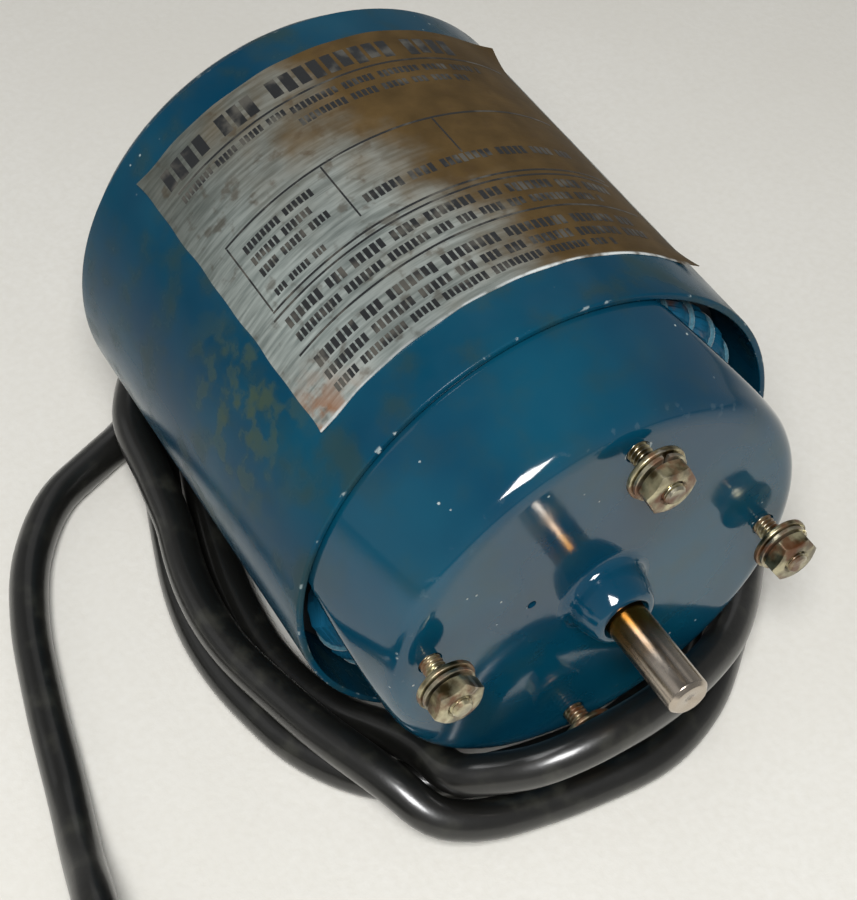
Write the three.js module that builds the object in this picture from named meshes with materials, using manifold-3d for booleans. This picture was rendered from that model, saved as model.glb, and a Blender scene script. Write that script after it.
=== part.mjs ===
// Small shaded-pole induction motor with a plain shaft, four mounting studs and a coiled cord.
// Millimetres, +Z up. The shaft lies along +X and the origin is the centre of its free end.
// Inside the motor group x is counted from the front rim of the housing: plus is towards the shaft.

import * as THREE from "three";
import { mergeVertices } from "three/addons/utils/BufferGeometryUtils.js";
import Module from "manifold-3d";

const wasm = await Module();
wasm.setup();

// ---- Driving dimensions ---------------------------------------------------------------------

const GAP = 0.3; // air kept between two pieces that would touch

const HOUSING_R = 50;
const HOUSING_WALL = 1.3;
const HOUSING_LENGTH = 89.5;
const HOUSING_BORE_R = HOUSING_R - HOUSING_WALL;

const SPIGOT_R = HOUSING_BORE_R - 0.5; // the end bells slip into the housing
const SPIGOT_DEPTH = 6;
const BELL_WALL = 2;
const FACE_X = 20.4; // flat front face of the front bell
const FACE_R = 39.2;
const BELL_CORNER_R = 42.8; // where the tapered side wall meets the rounded corner
const CORNER_ROUND = 3.8;
const BOSS_R = 7.4;
const BOSS_TOP_X = FACE_X + 7.4;
const OIL_HOLE = [158, 16.5]; // angle and radius of the small hole beside the boss
const OIL_HOLE_R = 0.9;
const REAR_DEPTH = 4.5; // how far the rear bell stands out of the housing

const VENT_ANGLES = [33, 200]; // degrees from +Y towards +Z
const VENT_CHORD = 41.5; // distance from the shaft axis to the pushed-in side wall
const VENT_SLANT = 7; // degrees

const SHAFT_R = 3.97; // 5/16 inch
const SHAFT_REACH = 46.9; // from the front rim to the free end
const SHAFT_REAR_X = -90.7;
const SHAFT_CHAMFER = 0.8;
const SHAFT_SIDES = 24;
const BEARING_BORE_R = 4.02;
const BEARING_R = 7.2;
const BEARING_LENGTH = 11;
const HUB_R = 11;
const FRONT_HUB_X = 8;
const REAR_HUB_X = -79.5;

const STACK_FRONT_X = -14;
const STACK_REAR_X = -64;
const STACK_MIDDLE_X = (STACK_FRONT_X + STACK_REAR_X) / 2;
const STACK_HALF = (STACK_FRONT_X - STACK_REAR_X) / 2;
const POLE_BORE_R = 25.9;
const ROTOR_R = 25.4;
const YOKE_BORE_R = 41.3;
const POLE_HALF_WIDTH = 8;
const SHOE_HALF_ANGLE = 36;
const COIL_INNER_R = 31.2;
const COIL_OUTER_R = 36.8;
const COIL_WIDTH = 9;
const END_TURN_R = 5.6; // thickness of the bundle that crosses each end of a coil

const STUD_CIRCLE_R = 35.6; // four studs on a 71.2 mm circle
const STUD_R = 2.08; // number 8 thread
const STUD_ANGLES = [84.5, -5.5, 264.5, 174.5];
const POLE_ANGLES = STUD_ANGLES.map((angle) => angle + 45);
const WASHER_X = 25; // the nuts and washers stand off the face
const WASHER_R = 5.6;
const WASHER_THICK = 1;
const NUT_ACROSS_FLATS = 8.7;
const NUT_THICK = 3.2;
const STUD_TIP = 1;

const PLATE_ANGLES = [42, 139.5];
const PLATE_REAR_X = -81.3;
const PLATE_FRONT_X = -11;
const PLATE_THICK = 0.35;

const CORD_R = 4;
const TABLE_Z = -HOUSING_R;
const COIL_CENTRE = [-33, 4];
const CORD_EXIT = [21.6, -26.2]; // y and z of the hole in the rear bell
const PLUG_YAW = -9; // degrees
const PLUG_MOUTH = [19.5, -99, 13]; // where the cord enters the plug; the last value is a height

const ROUND = 36; // sides of the large round pieces

// ---- Geometry helpers -----------------------------------------------------------------------

const radians = THREE.MathUtils.degToRad;

function polar(angle, radius) {
  return [radius * Math.cos(radians(angle)), radius * Math.sin(radians(angle))];
}

// Share the vertices of a closed geometry, drop empty triangles and turn its faces outward.
function weld(geometry) {
  geometry.deleteAttribute("normal");
  geometry.deleteAttribute("uv");
  const welded = mergeVertices(geometry, 1e-4);
  const position = welded.getAttribute("position");
  const corner = [0, 1, 2].map(() => new THREE.Vector3());
  const triangles = [];
  let volume = 0;
  for (let i = 0; i < welded.index.count; i += 3) {
    const triple = [0, 1, 2].map((k) => welded.index.getX(i + k));
    if (new Set(triple).size < 3) continue;
    triple.forEach((vertex, k) => corner[k].fromBufferAttribute(position, vertex));
    volume += corner[0].dot(corner[1].clone().cross(corner[2]));
    triangles.push(triple);
  }
  const outward = volume > 0 ? triangles : triangles.map(([a, b, c]) => [a, c, b]);
  welded.setIndex(outward.flat());
  return welded;
}

function toSolid(geometry) {
  const welded = weld(geometry);
  const vertProperties = new Float32Array(welded.getAttribute("position").array);
  const triVerts = new Uint32Array(welded.index.array);
  return new wasm.Manifold(new wasm.Mesh({ numProp: 3, vertProperties, triVerts }));
}

function toGeometry(solid) {
  const mesh = solid.getMesh();
  const geometry = new THREE.BufferGeometry();
  geometry.setAttribute("position", new THREE.BufferAttribute(mesh.vertProperties, 3));
  geometry.setIndex(new THREE.BufferAttribute(mesh.triVerts, 1));
  return geometry;
}

function join(first, ...others) {
  return toGeometry(others.reduce((solid, other) => solid.add(toSolid(other)), toSolid(first)));
}

function cut(base, ...tools) {
  return toGeometry(tools.reduce((solid, tool) => solid.subtract(toSolid(tool)), toSolid(base)));
}

// Turn a profile of [x, radius] points about the X axis.
function turned(profile, sides) {
  const points = profile.map(([x, radius]) => new THREE.Vector2(radius, x));
  return weld(new THREE.LatheGeometry(points, sides).rotateZ(-Math.PI / 2));
}

function rod(rear, front, radius, sides) {
  return turned([[rear, 0], [rear, radius], [front, radius], [front, 0]], sides);
}

function ring(rear, front, inner, outer, sides) {
  return turned([[rear, inner], [rear, outer], [front, outer], [front, inner], [rear, inner]], sides);
}

// Points of an arc in a profile, centre [x, radius], angles in degrees from +X towards +radius.
function arc(x, radius, size, from, to, steps) {
  return Array.from({ length: steps + 1 }, (_, i) => {
    const [across, out] = polar(from + ((to - from) * i) / steps, size);
    return [x + across, radius + out];
  });
}

// Extrude an outline drawn in the YZ plane along X.
function prism(outline, rear, front, holes = []) {
  const shape = new THREE.Shape(outline.map(([y, z]) => new THREE.Vector2(y, z)));
  shape.holes = holes.map((hole) => new THREE.Path(hole.map(([y, z]) => new THREE.Vector2(y, z))));
  const geometry = new THREE.ExtrudeGeometry(shape, { depth: front - rear, bevelEnabled: false });
  const axes = new THREE.Matrix4().makeBasis(
    new THREE.Vector3(0, 1, 0),
    new THREE.Vector3(0, 0, 1),
    new THREE.Vector3(1, 0, 0),
  );
  return weld(geometry.applyMatrix4(axes).translate(rear, 0, 0));
}

function circle(radius, count, phase = 0) {
  return Array.from({ length: count }, (_, i) => polar(phase + (360 * i) / count, radius));
}

// Sweep a round section along a smooth curve through the points.
function tube(points, radius, sides, steps) {
  const path = new THREE.CatmullRomCurve3(points.map((point) => new THREE.Vector3(...point)));
  const section = new THREE.Shape(circle(radius, sides).map(([x, y]) => new THREE.Vector2(x, y)));
  return weld(new THREE.ExtrudeGeometry(section, { steps, bevelEnabled: false, extrudePath: path }));
}

function block(size, centre) {
  return new THREE.BoxGeometry(...size).translate(...centre);
}

// ---- Finishes and placing -------------------------------------------------------------------

const FINISHES = {
  bluePaint: [0x0c4b70, 0.25, 0.1],
  foil: [0x8f8f86, 0.35, 0.8],
  shaftSteel: [0x9a8a78, 0.3, 1],
  zinc: [0xb3ad90, 0.35, 1],
  laminations: [0x4a4c50, 0.5, 0.9],
  winding: [0x1d5b78, 0.45, 0.1],
  copper: [0xb5713f, 0.3, 1],
  bronze: [0xa9824f, 0.4, 1],
  felt: [0xc9bfa3, 0.95, 0],
  springSteel: [0x7c7f84, 0.35, 1],
  castAluminium: [0xb9bcc0, 0.5, 0.9],
  blackPlastic: [0x17181a, 0.45, 0],
  cordJacket: [0x1c1c18, 0.4, 0],
  brass: [0xc8a85a, 0.3, 1],
  blackWire: [0x1a1a1a, 0.4, 0],
  whiteWire: [0xd8d6cc, 0.4, 0],
  greenWire: [0x1f6b3a, 0.4, 0],
};

const motor = new THREE.Group();
motor.position.x = -SHAFT_REACH;

function add(name, geometry, finish, parent = motor) {
  const [color, roughness, metalness] = FINISHES[finish];
  const material = new THREE.MeshStandardMaterial({ color, roughness, metalness });
  const mesh = new THREE.Mesh(weld(geometry), material);
  mesh.name = name;
  parent.add(mesh);
  return mesh;
}

// ---- Housing, end bells and nameplate -------------------------------------------------------

// A block whose inner face is the pushed-in wall of a vent, moved inwards by the given inset.
function ventBlock(angle, inset) {
  const depth = 30;
  return new THREE.BoxGeometry(80, depth, 90)
    .translate(0, depth / 2, 0)
    .rotateZ(radians(VENT_SLANT))
    .translate(0, VENT_CHORD - inset, 0)
    .rotateX(radians(angle));
}

// The spigot is missing at a vent, where the field coil shows between bell and housing.
function spigotGap(angle) {
  const size = [SPIGOT_DEPTH + 1.2, 24, 50];
  return block(size, [-SPIGOT_DEPTH / 2 - 0.4, VENT_CHORD + 8, 0]).rotateX(radians(angle));
}

function studHoles(rear, front) {
  return STUD_ANGLES.map((angle) => {
    const [y, z] = polar(angle, STUD_CIRCLE_R);
    return rod(rear, front, STUD_R + GAP, 12).translate(0, y, z);
  });
}

function housing() {
  return turned(
    [
      [-HOUSING_LENGTH, HOUSING_BORE_R],
      [-HOUSING_LENGTH, HOUSING_R - 0.4],
      [-HOUSING_LENGTH + 0.4, HOUSING_R],
      [-0.4, HOUSING_R],
      [0, HOUSING_R - 0.4],
      [0, HOUSING_BORE_R],
      [-HOUSING_LENGTH, HOUSING_BORE_R],
    ],
    ROUND,
  );
}

function frontBell() {
  const shell = turned(
    [
      [-SPIGOT_DEPTH, 0],
      [-SPIGOT_DEPTH, SPIGOT_R],
      [0.3, SPIGOT_R],
      ...arc(FACE_X - CORNER_ROUND, BELL_CORNER_R - CORNER_ROUND, CORNER_ROUND, 75, 0, 4),
      [FACE_X, BOSS_R + 3],
      [FACE_X + 0.7, BOSS_R + 1],
      ...arc(BOSS_TOP_X - 2.4, BOSS_R - 2.4, 2.4, 90, 0, 4),
      [BOSS_TOP_X, 0],
    ],
    ROUND,
  );
  const cavity = turned(
    [
      [-SPIGOT_DEPTH - 1, 0],
      [FRONT_HUB_X, 0],
      [FRONT_HUB_X, HUB_R],
      [FACE_X - BELL_WALL, HUB_R],
      [FACE_X - BELL_WALL, FACE_R - 1],
      [FACE_X - CORNER_ROUND, BELL_CORNER_R - BELL_WALL],
      [0, SPIGOT_R - BELL_WALL],
      [-SPIGOT_DEPTH - 1, SPIGOT_R - BELL_WALL],
      [-SPIGOT_DEPTH - 1, 0],
    ],
    ROUND,
  );
  const outside = cut(shell, ...VENT_ANGLES.map((angle) => ventBlock(angle, 0)));
  const inside = cut(cavity, ...VENT_ANGLES.map((angle) => ventBlock(angle, BELL_WALL)));
  const bearingSeat = rod(FRONT_HUB_X - 1, FRONT_HUB_X + BEARING_LENGTH + 1, BEARING_R + GAP, 24);
  const shaftHole = rod(FRONT_HUB_X, BOSS_TOP_X + 1, SHAFT_R + 0.6, 24);
  const oilHole = rod(FACE_X - 3, FACE_X + 1, OIL_HOLE_R, 10).translate(0, ...polar(...OIL_HOLE));
  const holes = [bearingSeat, shaftHole, oilHole, ...studHoles(FACE_X - 4, FACE_X + 1)];
  return cut(outside, inside, ...holes, ...VENT_ANGLES.map(spigotGap));
}

// A slot with round ends, cut across the radius at the given angle.
function rearVent(angle) {
  const outline = [...arc(0, 9, 2, 0, 180, 5), ...arc(0, -9, 2, 180, 360, 5)];
  const rear = -HOUSING_LENGTH - REAR_DEPTH - 1;
  return prism(outline, rear, rear + 5).translate(0, 27, 0).rotateX(radians(angle));
}

function rearBell() {
  const faceX = -HOUSING_LENGTH - REAR_DEPTH;
  const round = REAR_DEPTH - 0.5;
  const shell = turned(
    [
      [-HOUSING_LENGTH + SPIGOT_DEPTH, 0],
      [-HOUSING_LENGTH + SPIGOT_DEPTH, SPIGOT_R],
      ...arc(faceX + round, SPIGOT_R - round, round, 90, 180, 4),
      [faceX, 15],
      [faceX - 1.6, 13],
      [faceX - 1.6, 0],
    ],
    ROUND,
  );
  const cavity = ring(faceX + BELL_WALL, -HOUSING_LENGTH + SPIGOT_DEPTH + 1, HUB_R, SPIGOT_R - 4, ROUND);
  const hub = rod(faceX + 1, REAR_HUB_X, HUB_R, ROUND);
  const bearingSeat = rod(REAR_HUB_X - BEARING_LENGTH - 1.3, REAR_HUB_X + 1, BEARING_R + GAP, 24);
  const cordHole = rod(faceX - 1, faceX + 4, 6.6, 20).translate(0, ...CORD_EXIT);
  const vents = POLE_ANGLES.filter((angle) => angle < 300).map(rearVent);
  const holes = [bearingSeat, cordHole, ...vents, ...studHoles(faceX - 1, faceX + 4)];
  return cut(join(cut(shell, cavity), hub), ...holes);
}

function nameplate() {
  const inner = HOUSING_R + GAP;
  const steps = 24;
  const [start, end] = PLATE_ANGLES;
  const edge = (radius) =>
    Array.from({ length: steps + 1 }, (_, i) => polar(start + ((end - start) * i) / steps, radius));
  return prism([...edge(inner), ...edge(inner + PLATE_THICK).reverse()], PLATE_REAR_X, PLATE_FRONT_X);
}

add("housing_shell", housing(), "bluePaint");
add("front_end_bell", frontBell(), "bluePaint");
add("rear_end_bell", rearBell(), "bluePaint");
add("nameplate", nameplate(), "foil");

// ---- Stator ---------------------------------------------------------------------------------

// The air inside the laminations: the rotor bore and the spaces between the poles.
function statorWindow() {
  const neck = 31;
  const tip = 30.2;
  const steps = 8;
  const atYoke = THREE.MathUtils.radToDeg(Math.asin(POLE_HALF_WIDTH / YOKE_BORE_R));
  const atNeck = THREE.MathUtils.radToDeg(Math.asin(POLE_HALF_WIDTH / neck));
  return POLE_ANGLES.toSorted((a, b) => a - b).flatMap((pole) => [
    polar(pole - atYoke, YOKE_BORE_R),
    polar(pole - atNeck, neck),
    polar(pole - SHOE_HALF_ANGLE, tip),
    ...Array.from({ length: steps + 1 }, (_, i) =>
      polar(pole + SHOE_HALF_ANGLE * ((2 * i) / steps - 1), POLE_BORE_R),
    ),
    polar(pole + SHOE_HALF_ANGLE, tip),
    polar(pole + atNeck, neck),
    ...Array.from({ length: 6 }, (_, i) =>
      polar(pole + atYoke + ((90 - 2 * atYoke) * i) / 6, YOKE_BORE_R),
    ),
  ]);
}

const SHADING_ANGLE = 30.5; // from the pole's centre line to the middle of its shading ring
const SHADING_HALF = 3;
const SHADING_LEG = 1.6;
const SHADING_R = 26.3;
const SHADING_DEPTH = 1.6;

function statorCore() {
  const outline = circle(HOUSING_BORE_R - GAP, ROUND);
  const core = prism(outline, STACK_REAR_X, STACK_FRONT_X, [statorWindow()]);
  const notches = POLE_ANGLES.map((pole) =>
    block(
      [2 * STACK_HALF + 2, SHADING_DEPTH + 2.6, SHADING_LEG + 2 * GAP],
      [STACK_MIDDLE_X, SHADING_R + 0.6, -SHADING_HALF - SHADING_LEG / 2],
    ).rotateX(radians(pole + SHADING_ANGLE)),
  );
  return cut(core, ...notches);
}

function rectangle(halfLength, halfWidth, round) {
  const corners = [
    [halfLength - round, halfWidth - round, 0],
    [round - halfLength, halfWidth - round, 90],
    [round - halfLength, round - halfWidth, 180],
    [halfLength - round, round - halfWidth, 270],
  ];
  return corners.flatMap(([x, y, start]) => arc(x, y, round, start, start + 90, 2));
}

// A flat loop around +Y, its long side along X, from one radius to another.
function loop(outerHalf, innerHalf, innerR, outerR, round) {
  const shape = new THREE.Shape(rectangle(...outerHalf, round).map((p) => new THREE.Vector2(...p)));
  const window = rectangle(...innerHalf, 0.2).map((p) => new THREE.Vector2(...p));
  shape.holes = [new THREE.Path(window)];
  const geometry = new THREE.ExtrudeGeometry(shape, { depth: outerR - innerR, bevelEnabled: false });
  return weld(geometry.rotateX(-Math.PI / 2).translate(STACK_MIDDLE_X, innerR, 0));
}

// The bundle of wire that crosses one end of a coil, bent outwards to follow the housing.
function endTurn(x) {
  const reach = 25;
  const points = [-1, -0.5, 0, 0.5, 1].map((part) => [x, ...polar(part * reach, 40.4)]);
  return tube(points, END_TURN_R, 8, 6);
}

function fieldCoil(pole) {
  const innerHalf = [STACK_HALF + GAP, POLE_HALF_WIDTH + GAP];
  const outerHalf = innerHalf.map((half) => half + COIL_WIDTH);
  const frontX = STACK_FRONT_X + END_TURN_R + 2;
  const rearX = STACK_REAR_X - END_TURN_R - 2;
  const sides = loop(outerHalf, innerHalf, COIL_INNER_R, COIL_OUTER_R, 4);
  return join(sides, endTurn(frontX), endTurn(rearX)).rotateX(radians(pole));
}

function shadingRing(pole) {
  const innerHalf = [STACK_HALF + GAP, SHADING_HALF];
  const outerHalf = innerHalf.map((half) => half + SHADING_LEG);
  const flat = loop(outerHalf, innerHalf, SHADING_R, SHADING_R + SHADING_DEPTH, 0.6);
  return flat.rotateX(radians(pole + SHADING_ANGLE));
}

function thermalProtector() {
  const rear = STACK_REAR_X - 18;
  const body = block([16, 6.4, 9.6], [rear + 8, 43.2, 0]);
  const cap = block([1.6, 4.4, 7], [rear - 0.6, 43.2, 0]);
  return join(body, cap).rotateX(radians(STUD_ANGLES[0]));
}

add("stator_core", statorCore(), "laminations");
POLE_ANGLES.forEach((pole, i) => {
  add(`field_coil_${i + 1}`, fieldCoil(pole), "winding");
  add(`shading_ring_${i + 1}`, shadingRing(pole), "copper");
});
add("thermal_protector", thermalProtector(), "blackPlastic");

// ---- Bearings: each set sits on a hub, and towards is +1 at the front and -1 at the rear ------

function mirrored(profile, hubX, towards) {
  return profile.map(([x, radius]) => [hubX + towards * x, radius]);
}

function addBearing(place, hubX, towards) {
  const sleeve = [
    [0.4, BEARING_BORE_R],
    [0.4, BEARING_R - 0.6],
    [1, BEARING_R],
    [BEARING_LENGTH - 0.6, BEARING_R],
    [BEARING_LENGTH, BEARING_R - 0.6],
    [BEARING_LENGTH, BEARING_BORE_R],
    [0.4, BEARING_BORE_R],
  ];
  const felt = [[0.3, HUB_R + GAP], [0.3, 15.4], [5.6, 15.4], [5.6, HUB_R + GAP], [0.3, HUB_R + GAP]];
  const cup = [
    [-0.3, SHAFT_R + 1.2],
    [-0.3, 15.8],
    [6, 15.8],
    [6, 16.8],
    [-1.3, 16.8],
    [-1.3, SHAFT_R + 1.2],
    [-0.3, SHAFT_R + 1.2],
  ];
  add(`${place}_sleeve_bearing`, turned(mirrored(sleeve, hubX, towards), SHAFT_SIDES), "bronze");
  add(`${place}_oil_felt`, turned(mirrored(felt, hubX, towards), 18), "felt");
  add(`${place}_bearing_retainer`, turned(mirrored(cup, hubX, towards), 18), "springSteel");
}

addBearing("front", FRONT_HUB_X, 1);
addBearing("rear", REAR_HUB_X, -1);

// ---- Through bolts, whose ends are the mounting studs, with their washers and nuts -----------

const LOCK_WASHER_X = WASHER_X + WASHER_THICK + 0.1;
const NUT_X = LOCK_WASHER_X + WASHER_THICK + 0.1;
const STUD_END_X = NUT_X + NUT_THICK + STUD_TIP;
const BOLT_HEAD_X = -HOUSING_LENGTH - REAR_DEPTH - GAP;
const BOLT_HEAD_HEIGHT = 2.6;

function throughBolt() {
  const shank = rod(BOLT_HEAD_X - 1, STUD_END_X, STUD_R, 12);
  const topX = BOLT_HEAD_X - BOLT_HEAD_HEIGHT;
  const profile = [[BOLT_HEAD_X, 0], [BOLT_HEAD_X, 4], [BOLT_HEAD_X - 1.6, 3.8], [topX, 2.4], [topX, 0]];
  const head = turned(profile, 16);
  const slot = block([2, 9, 1], [topX, 0, 0]);
  return cut(join(shank, head), slot);
}

function studNut() {
  const cornerR = NUT_ACROSS_FLATS / Math.sqrt(3);
  const hole = circle(STUD_R + GAP, 12);
  const hex = prism(circle(cornerR, 6), NUT_X, NUT_X + NUT_THICK, [hole]);
  const bevel = 0.9;
  const shoulder = turned(
    [
      [NUT_X + NUT_THICK - bevel, cornerR + 1],
      [NUT_X + NUT_THICK - bevel, cornerR],
      [NUT_X + NUT_THICK, cornerR - 2 * bevel + 0.6],
      [NUT_X + NUT_THICK + 1, cornerR - 2 * bevel],
      [NUT_X + NUT_THICK + 1, cornerR + 1],
      [NUT_X + NUT_THICK - bevel, cornerR + 1],
    ],
    18,
  );
  return cut(hex, shoulder);
}

// A split spring washer: a ring with one slanted gap.
function lockWasher() {
  const body = ring(LOCK_WASHER_X, LOCK_WASHER_X + WASHER_THICK, STUD_R + GAP, WASHER_R - 0.5, 16);
  const split = block([3, 5, 0.5], [LOCK_WASHER_X + WASHER_THICK / 2, WASHER_R - 1, 0]);
  return cut(body, split);
}

STUD_ANGLES.forEach((angle, i) => {
  const stud = new THREE.Group();
  const [y, z] = polar(angle, STUD_CIRCLE_R);
  stud.position.set(0, y, z);
  stud.rotation.x = radians(angle + 37 * i);
  motor.add(stud);
  const washer = ring(WASHER_X, WASHER_X + WASHER_THICK, STUD_R + GAP, WASHER_R, 16);
  add(`through_bolt_${i + 1}`, throughBolt(), "zinc", stud);
  add(`flat_washer_${i + 1}`, washer, "zinc", stud);
  add(`lock_washer_${i + 1}`, lockWasher(), "zinc", stud);
  add(`stud_nut_${i + 1}`, studNut(), "zinc", stud);
});

// ---- Rotor: everything that turns -------------------------------------------------------------

const BAR_COUNT = 14;
const BAR_R = 1.4;
const BAR_CIRCLE_R = 22.6;

function cageBars(radius, rear, front) {
  return circle(BAR_CIRCLE_R, BAR_COUNT).map(([y, z]) => rod(rear, front, radius, 6).translate(0, y, z));
}

function shaft() {
  return turned(
    [
      [SHAFT_REAR_X, 0],
      [SHAFT_REAR_X, SHAFT_R - SHAFT_CHAMFER],
      [SHAFT_REAR_X + SHAFT_CHAMFER, SHAFT_R],
      [SHAFT_REACH - SHAFT_CHAMFER, SHAFT_R],
      [SHAFT_REACH, SHAFT_R - SHAFT_CHAMFER],
      [SHAFT_REACH, 0],
    ],
    SHAFT_SIDES,
  );
}

function rotorCore() {
  const outline = circle(ROTOR_R, 42);
  const bore = circle(SHAFT_R + GAP, SHAFT_SIDES);
  const slots = circle(BAR_CIRCLE_R, BAR_COUNT).map(([y, z]) =>
    circle(BAR_R + GAP, 6, 90).map(([across, up]) => [y + across, z + up]),
  );
  return prism(outline, STACK_REAR_X, STACK_FRONT_X, [bore, ...slots]);
}

function squirrelCage() {
  const thick = 4.5;
  const front = ring(STACK_FRONT_X + GAP, STACK_FRONT_X + thick, 16, 24.6, 32);
  const rear = ring(STACK_REAR_X - thick, STACK_REAR_X - GAP, 16, 24.6, 32);
  return join(front, rear, ...cageBars(BAR_R, STACK_REAR_X - 2, STACK_FRONT_X + 2));
}

function coolingFan() {
  const plateX = STACK_REAR_X - 5.4;
  const plate = ring(plateX - 1.2, plateX, SHAFT_R + GAP, 24, SHAFT_SIDES);
  const collar = ring(plateX - 5, plateX - 0.6, SHAFT_R + GAP, 8, SHAFT_SIDES);
  const blades = Array.from({ length: 8 }, (_, i) =>
    block([5, 13, 1.2], [plateX - 3.2, 17.2, 0]).rotateX(radians(45 * i)),
  );
  return join(plate, collar, ...blades);
}

// A spring clip that snaps into place on the shaft: a ring open on one side.
function shaftClip(x) {
  const body = ring(x - 0.6, x + 0.6, SHAFT_R + GAP, 7.4, 16);
  return cut(body, block([3, 8, 4], [x, 6, 0]));
}

add("motor_shaft", shaft(), "shaftSteel");
add("rotor_core", rotorCore(), "laminations");
add("squirrel_cage", squirrelCage(), "castAluminium");
add("cooling_fan", coolingFan(), "castAluminium");
[["front", FRONT_HUB_X, -1], ["rear", REAR_HUB_X, 1]].forEach(([place, hubX, inwards]) => {
  const washerX = hubX + inwards * 2.2;
  const washer = ring(washerX - 0.5, washerX + 0.5, SHAFT_R + GAP, 8, 16);
  add(`${place}_thrust_washer`, washer, "bronze");
  add(`${place}_shaft_clip`, shaftClip(hubX + inwards * 3.8), "springSteel");
});

// ---- Supply cord: bushing, coiled cord, leads inside and moulded plug --------------------------

// Stations of the loose coil: degrees round the coil centre, radius, height of the cord's middle
// above the table. The first turn crosses over the third and comes down in front. The second
// leans on the lowest nut.
const LYING = CORD_R + 0.05;
const COIL_STATIONS = [
  [212, 77, 17],
  [222, 72.4, 15.9],
  [232, 64, 14],
  [243, 58.6, 12.9],
  [252, 57.2, 12.4],
  [276, 56.6, 12.3],
  [293, 57.4, 12.3],
  [310, 62, 12.5],
  [318, 65.8, 12],
  [325, 69.6, 9.2],
  [331, 69.2, 7],
  [342, 66, 4.6],
  [352, 64.6, LYING],
  [366, 64.5, LYING],
  [379, 62.4, LYING],
  [390, 59.8, LYING],
  [405, 57.8, LYING],
  [420, 55.3, LYING],
  [450, 52, LYING],
  [475, 53, LYING],
  [495, 57.6, LYING],
  [518, 64.8, LYING],
  [540, 68, LYING],
  [558, 68, LYING],
  [572, 64.9, LYING],
  [582, 58, LYING],
  [592, 53.2, LYING],
  [602, 50.2, LYING],
  [612, 48.6, LYING],
  [625, 47.8, LYING],
  [638, 48.4, LYING],
  [650, 49.2, LYING],
  [664, 50.6, 5.2],
  [674, 52.8, 8.6],
  [682, 57.2, 12],
  [688, 63.8, 14.6],
  [694, 65.3, 16.8],
  [701, 66.6, 20],
  [708, 66.4, 22.2],
  [715, 65.4, 22.8],
  [726, 63.2, 20.3],
  [736, 61.9, 18],
  [746, 61, 16],
  [757, 59.4, 13.8],
  [766, 58.6, 12.8],
  [777, 60, 11.2],
  [790, 62.2, 8],
  [804, 62.6, 4.6],
  [815, 62, LYING],
  [835, 62, LYING],
  [855, 67, LYING],
  [880, 74.6, LYING],
  [900, 77, LYING],
  [920, 75.1, 8.4],
  [932, 71.4, 9.9],
  [942, 66.8, 8],
  [952, 62.4, 5],
  [962, 59.6, LYING],
  [975, 58.2, LYING],
  [993, 58, LYING],
  [1007, 58.6, LYING],
  [1017, 59.9, LYING],
  [1026, 60.6, LYING],
  [1034, 60.6, LYING],
  [1042, 59.6, LYING],
  [1053, 57.6, LYING],
  [1068, 55.6, LYING],
  [1082, 55, LYING],
  [1100, 53, LYING],
  [1115, 49.9, LYING],
  [1130, 47.8, LYING],
  [1144, 46.6, 5.8],
  [1157, 46.8, 10],
  [1170, 49.4, 12.2],
  [1185, 53, 12.5],
  [1205, 61.4, 12.6],
  [1222, 71.8, 11.9],
  [1236, 80, 9.2],
  [1250, 85, 5],
  [1262, 85.8, LYING],
  [1280, 83, LYING],
  [1292, 77.4, LYING],
];
// The cord's turn behind the rear bell, and its run from the coil to the plug.
const CORD_BEND = [
  [-107, 18.5, -26.4],
  [-111, 10, -27],
  [-112, -2, -28.5],
  [-109.5, -14, -30],
  [-104.5, -26, -32],
];
const CORD_LEAD = [
  [-93, -44.4, LYING],
  [-89.4, -52.6, LYING],
  [-83.6, -64.7, LYING],
  [-72, -75, LYING],
  [-57.9, -81.6, LYING],
  [-38.7, -86.9, LYING],
  [-16, -91.8, LYING],
  [-2, -95, 7],
  [8.5, -97.1, 11.2],
];

function coilPoints() {
  const stations = new THREE.CatmullRomCurve3(COIL_STATIONS.map((row) => new THREE.Vector3(...row)));
  return stations.getPoints(3 * (COIL_STATIONS.length - 1)).map(({ x: angle, y: radius, z: height }) => {
    const [across, along] = polar(angle, radius);
    return [COIL_CENTRE[0] + across, COIL_CENTRE[1] + along, TABLE_Z + Math.max(height, LYING)];
  });
}

// The straight end of the cord, from a little before the plug's mouth to the bottom of its bore.
function plugEnd(distance) {
  const [x, y, height] = PLUG_MOUTH;
  const [across, along] = polar(PLUG_YAW, distance);
  return [x + across, y + along, height];
}

function cordPoints() {
  const [y, z] = CORD_EXIT;
  const straight = [-88, -94, -100].map((x) => [x, y, z]);
  const lead = [...CORD_LEAD, ...[-4, 0, 6, 12].map(plugEnd)];
  const lying = lead.map(([x, along, height]) => [x, along, TABLE_Z + height]);
  return [...straight, ...CORD_BEND, ...coilPoints(), ...lying];
}

function bushing() {
  const faceX = -HOUSING_LENGTH - REAR_DEPTH;
  const bore = CORD_R + GAP + 0.1;
  return turned(
    [
      [faceX + 3, bore],
      [faceX + 3, 6.2],
      [faceX - GAP, 6.2],
      [faceX - GAP, 8.2],
      [faceX - 2, 8],
      [faceX - 3.2, 6],
      [faceX - 5, 5.4],
      [faceX - 5, bore],
      [faceX + 3, bore],
    ],
    20,
  ).translate(0, ...CORD_EXIT);
}

const PLUG_BODY_LENGTH = 36;
const BLADE_Y = 6.35;

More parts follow.
